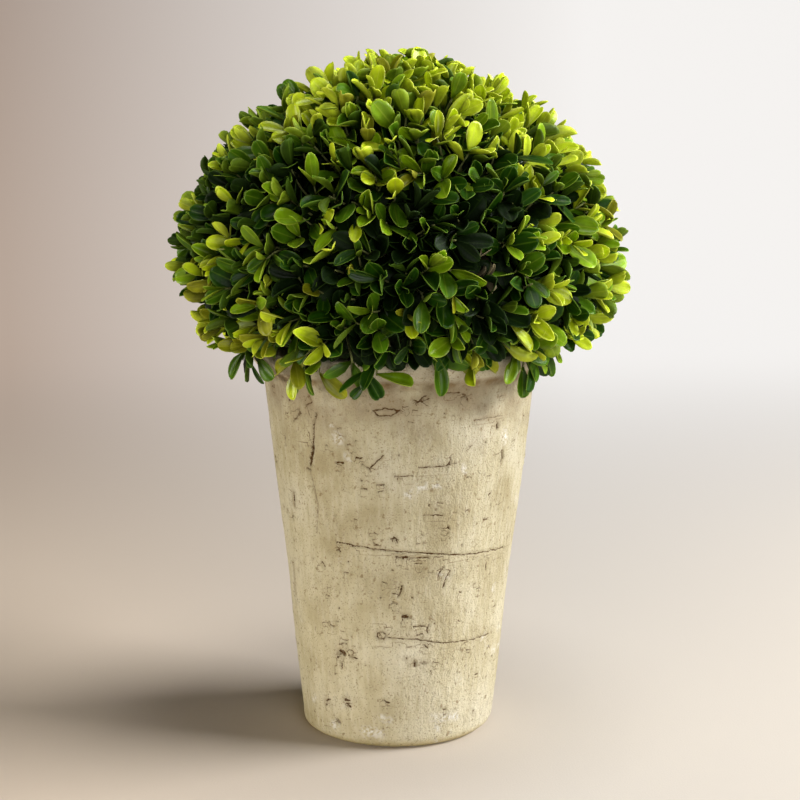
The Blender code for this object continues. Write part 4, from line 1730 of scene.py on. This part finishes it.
@dataclass(frozen=True)
class CrownTonesAndLight:
    """Where the crown's green is painted light and where painted shade, as it is seen from the front, beside
    the leaves' own spread of greens and the one dried cluster.
    """

    base: float = 0.24
    patches: float = 0.42
    patch_scale: float = 4.3
    # painted light at the lower left, the right, the top and over the lip
    lower_left: float = 0.56
    right: float = 0.38
    top: float = 0.82
    lit_fringe: float = 0.26
    # painted shade at the upper left and in the middle
    shaded_upper_left: float = -0.58
    middle: float = -0.10
    chance: Place = (-0.40, 0.50)
    # painted shade on the sprays that hang below the crown's edge
    hanging: float = -0.36
    # painted shade, darker pair by pair from the sprig's tip into the crown
    depth_shades: tuple[float, ...] = (0.14, 0.0, -0.28, -0.78, -1.2, -1.5)
    dried_way: Vector = field(default_factory=lambda: Vector((0.34, -0.92, 0.20)).normalized())
    dried_angle: float = 0.095
    dried: float = -1.0

    def brightness(self, rng: Random, way: Vector) -> float:
        """How light a sprig's green is.

        It is painted lighter at the top, at the right, at the lower left and over the lip, and darker at the
        upper left and in the middle: painted light and shade. The patches and the chance are the leaves' own
        spread of greens.

        Args:
            rng: Where its own share of chance comes from.
            way: The sprig's direction from the crown's centre.

        Returns:
            A number that is mostly between 0 and 1, or -1 for a sprig of the one cluster that has dried.
        """
        if way.angle(self.dried_way) < self.dried_angle:
            return self.dried
        patches = noise.noise(way * self.patch_scale + Vector((7.0, 3.0, 1.0)))
        lower_left = max(0.0, -way.x) * max(0.0, 0.75 - way.z)
        right = max(0.0, way.x - 0.35) / 0.65
        top = max(0.0, way.z - 0.45) / 0.55
        shaded_upper_left = max(0.0, -0.1 - way.x) * max(0.0, way.z)
        lit_fringe = float(smoothstep((-0.12 - way.z) / 0.20))
        middle = max(0.0, way @ Vector((-0.05, -0.95, 0.30)) - 0.85) / 0.15
        light = self.lower_left * lower_left + self.right * right + self.top * top + self.lit_fringe * lit_fringe
        regions = light + self.shaded_upper_left * shaded_upper_left + self.middle * middle
        return self.base + self.patches * patches + regions + rng.uniform(*self.chance)

    @staticmethod
    def olive_share(way: Vector) -> float:
        """How many of a sprig's light leaves are olive: more at the lower left."""
        return 0.08 + 0.36 * max(0.0, -way.x) * float(smoothstep(0.5 - 2.0 * way.z))

    @staticmethod
    def tint(brightness: float, olive: float, rng: Random) -> Tint:
        """Picks a tint.

        Args:
            brightness: How light the green is.
            olive: The share of olive among the light tints.
            rng: Where the choice comes from.

        Returns:
            The tint.
        """
        for limit, tint in ((-0.05, Tint.SHADE), (0.30, Tint.DEEP), (0.50, Tint.MID)):
            if brightness < limit:
                return tint
        light = Tint.FRESH if brightness < 0.72 else Tint.BRIGHT
        return light if rng.random() > olive else Tint.OLIVE


def across(way: Vector) -> Vector:
    """A unit vector square to a way."""
    return way.orthogonal().normalized()


@dataclass
class BoxwoodCrown:
    """The clipped dome: boughs that fork in it, branches, leafy sprigs all over, and a skirt over the lip."""

    maker: LeafMaker
    habit: LeafHabit = LeafHabit()
    tones: CrownTonesAndLight = field(default_factory=CrownTonesAndLight)
    centre: Vector = field(default_factory=lambda: Vector((0.0012, 0.0, 0.2665)))
    radius: float = 0.1365
    swell: float = 0.0045
    shoulder_polar: float = 36.0
    shoulder_width: float = 13.0
    shoulders_in: float = 0.0050
    lower_left_in: float = 0.0165
    lower_right_in: float = 0.0130
    skirt_lowest: float = 0.2085
    skirt_rise: float = 1.15
    skirt_depth: float = 0.0080
    edge_front: float = 0.2262
    edge_lift: float = 0.0100
    edge_rise: float = 0.50
    overhang: float = 0.0050
    bare_azimuths: tuple[float, ...] = (5, 37, 75, 108, 135, 160, 182, 216, 240, 262, 312, 341)
    bare_width: float = 6.5
    underside: float = 0.2345
    lip_radius: float = 0.0893
    lip_margin: float = 0.0020
    stem_top: float = 0.2275
    stem_lean: Vector = field(default_factory=lambda: Vector((0.0020, 0.0010, 0.0)))
    stub_ends: Place = (-0.001, 0.014)
    stub_radii: Place = (0.0071, 0.0058)
    bough_count: int = 17
    bough_reach: float = 0.052
    bough_lowest: float = radians(100)
    bough_radii: Place = (0.0034, 0.0019)
    bough_drop: float = 0.008
    bough_arch: float = 0.006
    bough_bend: float = 0.004
    branch_count: int = 120
    branch_reach: float = 0.086
    branch_lowest: float = radians(103)
    branch_radii: Place = (0.0018, 0.0011)
    branch_jitter: float = 0.06
    branch_bend: float = 0.003
    sprig_count: int = 680
    sprig_lowest: float = radians(106)
    sprig_radii: Place = (0.00085, 0.00050)
    sprig_jitter: float = 0.045
    sprig_depths: Place = (0.0135, 0.0075)
    stray_out: float = 0.0055
    stray_share: float = 0.12
    skirt_count: int = 52
    skirt_root: float = 0.2410
    skirt_root_out: float = 0.078
    skirt_reach: Place = (0.017, 0.025)
    skirt_droop: Place = (0.004, 0.009)
    skirt_bare: float = -0.12
    hanging: tuple[Place, ...] = (
        (-59, 0.2145), (-31, 0.2105), (-10, 0.2095), (13, 0.2235), (25, 0.2190), (47, 0.2142), (60, 0.2215),
        (118, 0.2150), (148, 0.2160), (170, 0.2110), (189, 0.2210), (207, 0.2130), (231, 0.2180),
        (246, 0.2160),
    )
    hanging_root_out: float = 0.076
    hanging_knee_out: float = 0.1010
    hanging_tip_out: Place = (0.0955, 0.0975)
    hanging_leaf: float = 0.0125
    hanging_turn: float = 0.085
    hanging_rise: float = 0.045
    seed: int = 41
    pairs: tuple[LeafPair, ...] = (
        LeafPair(0.0, 16, 0.72, Grade.FINE),
        LeafPair(0.0045, 31, 0.96, Grade.FINE),
        LeafPair(0.0105, 44, 1.08, Grade.FINE),
        LeafPair(0.0175, 55, 1.10, Grade.PLAIN),
        LeafPair(0.0255, 64, 1.05, Grade.PLAIN),
        LeafPair(0.0340, 68, 1.05, Grade.PLAIN),
    )
    clipped_share: float = 0.50
    missing_share: float = 0.08
    core_count: int = 300
    core_reach: float = 0.101
    core_jitter: float = 0.05
    core_pairs: tuple[LeafPair, ...] = (
        LeafPair(0.0, 62, 1.12, Grade.PLAIN),
        LeafPair(0.0, 74, 1.12, Grade.PLAIN),
    )
    most_leaves: int = 12000
    leaves: list[Leaf] = field(default_factory=list)
    wood: list[Limb] = field(default_factory=list)
    shoots: list[Limb] = field(default_factory=list)
    rng: Random = field(init=False)
    room: LeafRoom = field(init=False)

    def __post_init__(self) -> None:
        """Readies the source of chance and the room for the leaves."""
        self.rng = Random(self.seed)
        self.room = LeafRoom(self.most_leaves, 1.25 * self.maker.length)

    def build(self, bark: RoughFinish, shoot: RoughFinish) -> None:
        """Grows the crown and makes its pieces.

        Args:
            bark: The boughs' and branches' finish.
            shoot: The sprigs' finish.
        """
        branch_tips = self.grow_branches(self.grow_boughs())
        self.grow_dome(branch_tips)
        self.grow_skirt()
        self.rng = Random(self.seed + 1)
        self.grow_core(branch_tips)
        self.make_wood("boughs", self.wood, 8, bark)
        self.make_wood("sprigs", self.shoots, 4, shoot)
        self.make_leaves()

    @staticmethod
    def spread_ways(count: int, lowest_polar: float) -> list[Vector]:
        """Directions spread evenly over a dome by the golden angle, from its top down.

        Args:
            count: How many directions there are.
            lowest_polar: The polar angle of the lowest.

        Returns:
            Unit vectors.
        """
        golden = pi * (3.0 - sqrt(5.0))
        lowest = cos(lowest_polar)
        ways = []
        for i in range(count):
            rise = 1.0 - (1.0 - lowest) * (i + 0.5) / count
            spread = sqrt(max(0.0, 1.0 - rise * rise))
            ways.append(Vector((spread * cos(golden * i), spread * sin(golden * i), rise)))
        return ways

    @staticmethod
    def bent(start: Vector, middle: Vector, end: Vector, steps: int) -> list[Vector]:
        """Points along a smooth bend.

        Args:
            start: Where it starts.
            middle: The point that it is drawn towards.
            end: Where it ends.
            steps: How many stretches it has.

        Returns:
            The points.
        """
        shares = [k / steps for k in range(steps + 1)]
        return [start * (1 - t) ** 2 + middle * (2 * t * (1 - t)) + end * t**2 for t in shares]

    @staticmethod
    def tapered(radii: Place, steps: int) -> list[float]:
        """Radii that go evenly from the first to the last."""
        first, last = radii
        return [first + (last - first) * k / steps for k in range(steps + 1)]

    def in_reach(self, point: Vector, slack: float = 0.0, hangs: bool = False) -> bool:
        """Whether a point keeps inside the outline, above the crown's lower edge and clear of the pot.

        The lower edge is higher at the sides and over the bare stretches of the lip.

        Args:
            point: The place.
            slack: How far past the clipped outline it may be.
            hangs: Whether it belongs to a spray that hangs below the crown's lower edge.

        Returns:
            Whether something may grow there.
        """
        way = point - self.centre
        limit = min(self.radius, self.outline(way.normalized()) + self.overhang)
        if way.length > limit + slack:
            return False
        out = point.xy.length
        past = max(0.0, out - self.lip_radius - self.skirt_depth)
        if hangs:
            above = point.z > self.skirt_lowest + self.skirt_rise * past
        else:
            side = abs(point.x) / max(out, 0.001)
            azimuth = degrees(atan2(point.x, -point.y)) % 360.0
            gap = max(exp(-(((azimuth - bare) / self.bare_width) ** 2)) for bare in self.bare_azimuths)
            edge = self.edge_front + self.edge_lift * max(side**3, 0.7 * gap)
            above = point.z > edge + self.edge_rise * past
        return point.z > self.underside or (above and out > self.lip_radius + self.lip_margin)

    def outline(self, way: Vector) -> float:
        """How far the clipped surface stands from the crown's centre in one direction.

        Args:
            way: The direction, a unit vector.

        Returns:
            The crown's radius, less where its shoulders and its lower sides are drawn in.
        """
        polar = degrees(way.angle(UP))
        shoulders = exp(-(((polar - self.shoulder_polar) / self.shoulder_width) ** 2))
        lower_left = float(smoothstep((polar - 86.0) / 9.0)) * max(0.0, -way.x) ** 2
        lower_right = float(smoothstep((polar - 88.0) / 9.0)) * max(0.0, way.x) ** 2
        drawn_in = (self.shoulders_in * shoulders + self.lower_left_in * lower_left
                    + self.lower_right_in * lower_right)
        return self.radius + self.swell * noise.noise(way * 3.1) - drawn_in

    def grow_boughs(self) -> list[Vector]:
        """Grows the boughs from the top of the stem to their forks.

        Returns:
            The forks.
        """
        top, stub = [self.stem_lean + UP * (self.stem_top + rise) for rise in self.stub_ends]
        self.wood.append((self.bent(top, (top + stub) / 2, stub, 4), self.tapered(self.stub_radii, 4)))
        ways = self.spread_ways(self.bough_count, self.bough_lowest)
        forks = [self.centre + way * self.bough_reach for way in ways]
        for fork in forks:
            root = stub - UP * self.rng.uniform(0.0, self.bough_drop)
            middle = root.lerp(fork, 0.45) + UP * self.bough_arch + shaken(self.rng, self.bough_bend)
            self.wood.append((self.bent(root, middle, fork, 7), self.tapered(self.bough_radii, 7)))
        return forks

    def grow_branches(self, forks: list[Vector]) -> list[Vector]:
        """Grows branches on from the boughs, each from the fork that is nearest to its place.

        Args:
            forks: The ends of the boughs.

        Returns:
            The branches' tips.
        """
        tips = []
        for way in self.spread_ways(self.branch_count, self.branch_lowest):
            way = (way + shaken(self.rng, self.branch_jitter)).normalized()
            tip = self.centre + way * self.branch_reach * self.rng.uniform(0.94, 1.04)
            fork = nearest(forks, tip)
            middle = fork.lerp(tip, 0.5) + shaken(self.rng, self.branch_bend)
            self.wood.append((self.bent(fork, middle, tip, 4), self.tapered(self.branch_radii, 4)))
            tips.append(tip)
        return tips

    def grow_dome(self, branch_tips: list[Vector]) -> None:
        """Grows the sprigs all over the dome, each from the branch that is nearest to its place.

        Args:
            branch_tips: The ends of the branches.
        """
        deep, deeper = self.sprig_depths
        for way in self.spread_ways(self.sprig_count, self.sprig_lowest):
            way = (way + shaken(self.rng, self.sprig_jitter)).normalized()
            reach = self.outline(way) - deep - self.rng.uniform(0.0, deeper)
            tip = self.centre + way * (reach + self.stray_out * (self.rng.random() < self.stray_share))
            root = nearest(branch_tips, tip)
            drift = shaken(self.rng, 1.0)
            aim = ((tip - root).normalized() + 0.5 * way + 0.80 * drift + 0.15 * UP).normalized()
            middle = tip - aim * (0.45 * (tip - root).length)
            if self.in_reach(tip):
                self.grow_sprig(self.bent(root, middle, tip, 5), self.pairs, 1.0)

    def grow_skirt(self) -> None:
        """Grows the sprigs that bend out over the pot's lip, and the sprays that hang in front of it."""
        short, long = self.skirt_droop
        for i in range(self.skirt_count):
            turn = 2.0 * pi * (i + self.rng.uniform(-0.4, 0.4)) / self.skirt_count
            out = Vector((cos(turn), sin(turn), 0.0))
            foot = Vector((self.centre.x, 0.0, self.skirt_root + self.rng.uniform(-0.003, 0.006)))
            root = foot + out * self.skirt_root_out
            reach = self.rng.uniform(*self.skirt_reach)
            droop = self.rng.uniform(0.0, 1.0)
            knee = root + out * reach * 0.95 + UP * self.rng.uniform(-0.002, 0.003)
            tip = root + out * reach - UP * (short + long * droop)
            stretch = noise.noise(Vector((2.6 * cos(turn), 2.6 * sin(turn), 0.4)))
            if stretch >= self.skirt_bare and self.in_reach(tip):
                self.grow_sprig(self.bent(root, knee, tip, 5), self.pairs[:3], 0.95)
        for azimuth, lowest in self.hanging:
            self.grow_hanging(radians(azimuth), lowest)

    def grow_hanging(self, azimuth: float, lowest: float) -> None:
        """Grows a spray of three sprigs that bends over the lip and hangs in front of it.

        Args:
            azimuth: Its direction from the front towards +X.
            lowest: The height that the tips of its leaves come down to.
        """
        for side in (0.0, -self.hanging_turn, self.hanging_turn):
            turn = azimuth + side * self.rng.uniform(0.7, 1.2)
            out = Vector((sin(turn), -cos(turn), 0.0))
            root = UP * (self.skirt_root + self.rng.uniform(0.001, 0.005)) + out * self.hanging_root_out
            rise = self.hanging_leaf + self.hanging_rise * abs(side) * self.rng.uniform(0.8, 1.6)
            tip = UP * (lowest + rise) + out * self.rng.uniform(*self.hanging_tip_out)
            knee = UP * (root.z + 0.002) + out * self.hanging_knee_out
            self.grow_sprig(self.bent(root, knee, tip, 6), self.pairs[1:5], 0.98, hangs=True)

    def grow_core(self, branch_tips: list[Vector]) -> None:
        """Grows short shoots inside with near-black leaves of the SHADE tint, painted shade, so that no light
        comes through the crown.

        Args:
            branch_tips: The ends of the branches.
        """
        for way in self.spread_ways(self.core_count, self.branch_lowest):
            way = (way + shaken(self.rng, self.core_jitter)).normalized()
            tip = self.centre + way * self.core_reach * self.rng.uniform(0.92, 1.04)
            root = nearest(branch_tips, tip)
            middle = root.lerp(tip, 0.5) + shaken(self.rng, 0.4) * 0.004
            self.shoots.append(([root, middle, tip], self.tapered(self.sprig_radii, 2)))
            axis = (tip - middle).normalized()
            for order, pair in enumerate(self.core_pairs):
                joint = tip.lerp(middle, 0.45 * order)
                for turn in (0.0, pi):
                    spin = turn + order * pi / 2 + self.rng.uniform(-0.5, 0.5)
                    # painted shade: the inner leaves take the near-black SHADE tint
                    self.place_leaf(joint, axis, spin, pair, 1.0, Tint.SHADE, False)

    def grow_sprig(self, line: list[Vector], pairs: Sequence[LeafPair], vigour: float,
                   hangs: bool = False) -> None:
        """Makes one sprig and its pairs of leaves, each pair turned square to the one before.

        Args:
            line: Points from the sprig's root to its tip.
            pairs: The pairs from the tip down.
            vigour: A share that the leaves' size is multiplied by.
            hangs: Whether it hangs below the crown's lower edge.
        """
        self.shoots.append((line, self.tapered(self.sprig_radii, len(line) - 1)))
        points = line[::-1]
        lengths = [0.0]
        for near, far in zip(points, points[1:]):
            lengths.append(lengths[-1] + (far - near).length)
        way = (line[-1] - self.centre).normalized()
        # painted light and shade by where the sprig sits, and painted shade on a hanging spray
        brightness = self.tones.brightness(self.rng, way) + (self.tones.hanging if hangs else 0.0)
        olive = self.tones.olive_share(way)
        turn = self.rng.uniform(0.0, pi)
        pace = self.rng.uniform(0.85, 1.25)
        clipped = 1 if self.rng.random() < self.clipped_share else 0
        cut = pairs[clipped].below_tip - 0.0008 * clipped
        for order, pair in list(enumerate(pairs))[clipped:]:
            below = max(0.0, pair.below_tip - cut) * pace
            if below > lengths[-1] - 0.001:
                break
            k = max(i for i, length in enumerate(lengths[:-1]) if length <= below)
            share = (below - lengths[k]) / (lengths[k + 1] - lengths[k])
            joint = points[k].lerp(points[k + 1], share)
            axis = (points[k] - points[k + 1]).normalized()
            # painted shade deepens with each pair down the sprig
            level = brightness + self.tones.depth_shades[order] + self.rng.uniform(-0.08, 0.08)
            tint = self.tones.tint(level, olive, self.rng)
            if brightness < 0.5 * self.tones.dried:
                tint = Tint.DRIED
            for half in (0.0, pi):
                if self.rng.random() >= self.missing_share:
                    self.place_leaf(joint, axis, turn + half, pair, vigour, tint, hangs)
            turn += pi / 2 + self.rng.uniform(-0.15, 0.15)

    def place_leaf(self, joint: Vector, axis: Vector, turn: float, pair: LeafPair, vigour: float, tint: Tint,
                   hangs: bool) -> None:
        """Sets a leaf at a joint where it keeps to the crown's reach and cuts through no other.

        Args:
            joint: Where it grows from the sprig.
            axis: The sprig's way there.
            turn: Its turn round the sprig.
            pair: The pair that it belongs to.
            vigour: A share that its size is multiplied by.
            tint: Its tint.
            hangs: Whether it may hang below the crown's edge, with its upper side outwards.
        """
        rng, habit = self.rng, self.habit
        for attempt in range(habit.tries):
            wider = 1.0 + habit.widening * attempt
            loose = habit.turn + habit.more_turn * attempt
            out = Matrix.Rotation(turn + rng.uniform(-loose, loose), 3, axis) @ across(axis)
            angle = radians(pair.spread + rng.uniform(*habit.spread) * wider)
            way = (axis * cos(angle) + out * sin(angle)).normalized()
            upper = (axis * sin(angle) - out * cos(angle)).normalized()
            if hangs:
                outward = Vector((joint.x, joint.y, 0.0)).normalized() + habit.outward_rise * UP
                upper = (outward - way * (outward @ way)).normalized()
            upper = Matrix.Rotation(rng.gauss(0.0, habit.tilt) * wider, 3, way) @ upper
            size = pair.size * vigour * rng.uniform(*habit.sizes) * (habit.smaller**attempt)
            if tint is Tint.DRIED:
                size *= habit.dried_size
            side = way.cross(upper)
            length = size * self.maker.length
            width = rng.uniform(*habit.widths)
            half = 0.25 * width * length
            belly = joint + way * (0.7 * length)
            corners = [joint + way * length, belly + side * half, belly - side * half,
                       joint + way * (0.4 * length)]
            if not all(self.in_reach(point, habit.slack, hangs) for point in corners):
                continue
            middle = joint + way * (0.56 * length)
            if not self.room.admit(middle, side, way, upper, (0.92 * half, 0.42 * length)):
                continue
            cup = size * rng.uniform(*habit.cups) * (habit.dried_cup if tint is Tint.DRIED else 1.0)
            columns = Matrix((side * (size * width), way * size, upper * cup)).transposed()
            form = rng.randrange(len(self.maker.forms))
            self.leaves.append(Leaf(form, tint, pair.grade, joint, columns))
            return

    def make_wood(self, name: str, limbs: list[Limb], sides: int, finish: RoughFinish) -> None:
        """Makes one piece of many tapered limbs.

        Args:
            name: The piece's name.
            limbs: The points and radii of each limb.
            sides: How many sides a limb has.
            finish: The bark.
        """
        material = finish.material()
        by_length: dict[int, list[Limb]] = {}
        for limb in limbs:
            by_length.setdefault(len(limb[0]), []).append(limb)
        parts = []
        for count, group in by_length.items():
            lines = np.array([[tuple(point) for point in line] for line, _ in group])
            radii = np.array([reach for _, reach in group])
            parts.append(self.tubes(f"{name}_{count}", lines, radii, sides, material))
        deselect_all()
        for part in parts:
            part.select_set(True)
        bpy.context.view_layer.objects.active = parts[0]
        bpy.ops.object.join()
        finish_piece(take_new(name), "stem_bark", "crown_foliage")

    @staticmethod
    def tubes(name: str, lines: Array, radii: Array, sides: int, material: Material) -> Piece:
        """Joins tapered tubes with closed ends into one mesh.

        Args:
            name: The mesh's name.
            lines: The middle line of each tube, by tube, point and axis.
            radii: The radius at each point, by tube and point.
            sides: How many sides a tube has.
            material: The finish.

        Returns:
            The object.
        """
        count, rings = lines.shape[:2]
        ways = np.gradient(lines, axis=1)
        ways /= np.linalg.norm(ways, axis=2, keepdims=True)
        upright = np.abs(ways[:, :1, 2:]) >= 0.8
        first = np.cross(ways, np.where(upright, np.array((1.0, 0.0, 0.0)), np.array((0.0, 0.0, 1.0))))
        first /= np.linalg.norm(first, axis=2, keepdims=True)
        second = np.cross(ways, first)
        turns = 2.0 * pi * np.arange(sides) / sides
        rim = first[:, :, None] * np.cos(turns)[:, None] + second[:, :, None] * np.sin(turns)[:, None]
        points = (lines[:, :, None] + rim * radii[:, :, None, None]).reshape(count, rings * sides, 3)
        points = np.concatenate([points, lines[:, :1], lines[:, -1:]], axis=1)
        foot, tip, last = rings * sides, rings * sides + 1, (rings - 1) * sides
        corners = []
        for low in range(0, last, sides):
            for k in range(sides):
                n, high = (k + 1) % sides, low + sides
                corners += [(low + k, low + n, high + n), (low + k, high + n, high + k)]
        for k in range(sides):
            n = (k + 1) % sides
            corners += [(foot, n, k), (tip, last + k, last + n)]
        return joined_mesh(name, points, np.array(corners), [material])

    def make_leaves(self) -> None:
        """Makes the leaves' pieces, one or more for each tint and grade."""
        shapes = {grade: [self.maker.model(form, *grade.value[1:3]) for form in self.maker.forms]
                  for grade in Grade}
        for tint in Tint:
            materials = tint.value.materials(tint.name.lower())
            for grade in Grade:
                kind, _, _, most = grade.value
                chosen = [leaf for leaf in self.leaves if leaf.tint is tint and leaf.grade is grade]
                for number, start in enumerate(range(0, len(chosen), most)):
                    name = f"{kind}_{tint.name.lower()}_{number + 1}"
                    self.make_piece(name, chosen[start : start + most], shapes[grade], materials)
        log.info("%d leaves, %d sprigs", len(self.leaves), len(self.shoots))

    @staticmethod
    def make_piece(name: str, leaves: list[Leaf], shapes: list[LeafShape], materials: list[Material]) -> None:
        """Makes one piece of many leaves.

        Args:
            name: The piece's name.
            leaves: Its leaves.
            shapes: The meshes of the forms.
            materials: The finishes of the upper side, the underside and the rim.
        """
        points = [shapes[leaf.form].points @ np.array(leaf.frame).T + np.array(leaf.foot) for leaf in leaves]
        shape = shapes[0]
        finishes = shape.finishes
        piece = joined_mesh(name, np.array(points), shape.corners, materials, finishes, finishes == RIM)
        paint(piece.data, "from_rib", np.tile(shape.from_rib, len(leaves)))
        paint(piece.data, "along", np.tile(shape.along, len(leaves)))
        finish_piece(piece, "box_leaf", "crown_foliage")


def main() -> None:
    """Builds the studio, then the object from the pot up."""
    logging.basicConfig(level=logging.INFO, format="%(name)s: %(message)s")
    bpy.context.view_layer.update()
    Studio().build()
    CementPot().build(CementFinish())
    PottingSoil().build(RoughFinish("potting_soil", (0.018, 0.011, 0.007), (0.085, 0.052, 0.030), 240.0, 5.0,
                                    (1.0, 1.0, 1.0), (0.35, 0.70), (0.98, 0.80), 0.0012))
    ShortStem().build(RoughFinish("stem_bark", (0.085, 0.060, 0.038), (0.30, 0.235, 0.160), 320.0))
    bough = RoughFinish("bough_bark", (0.060, 0.042, 0.026), (0.20, 0.155, 0.100), 320.0)
    shoot = RoughFinish("young_shoot", (0.070, 0.075, 0.020), (0.17, 0.19, 0.050), 700.0)
    BoxwoodCrown(LeafMaker()).build(bough, shoot)


if __name__ == "__main__":
    main()
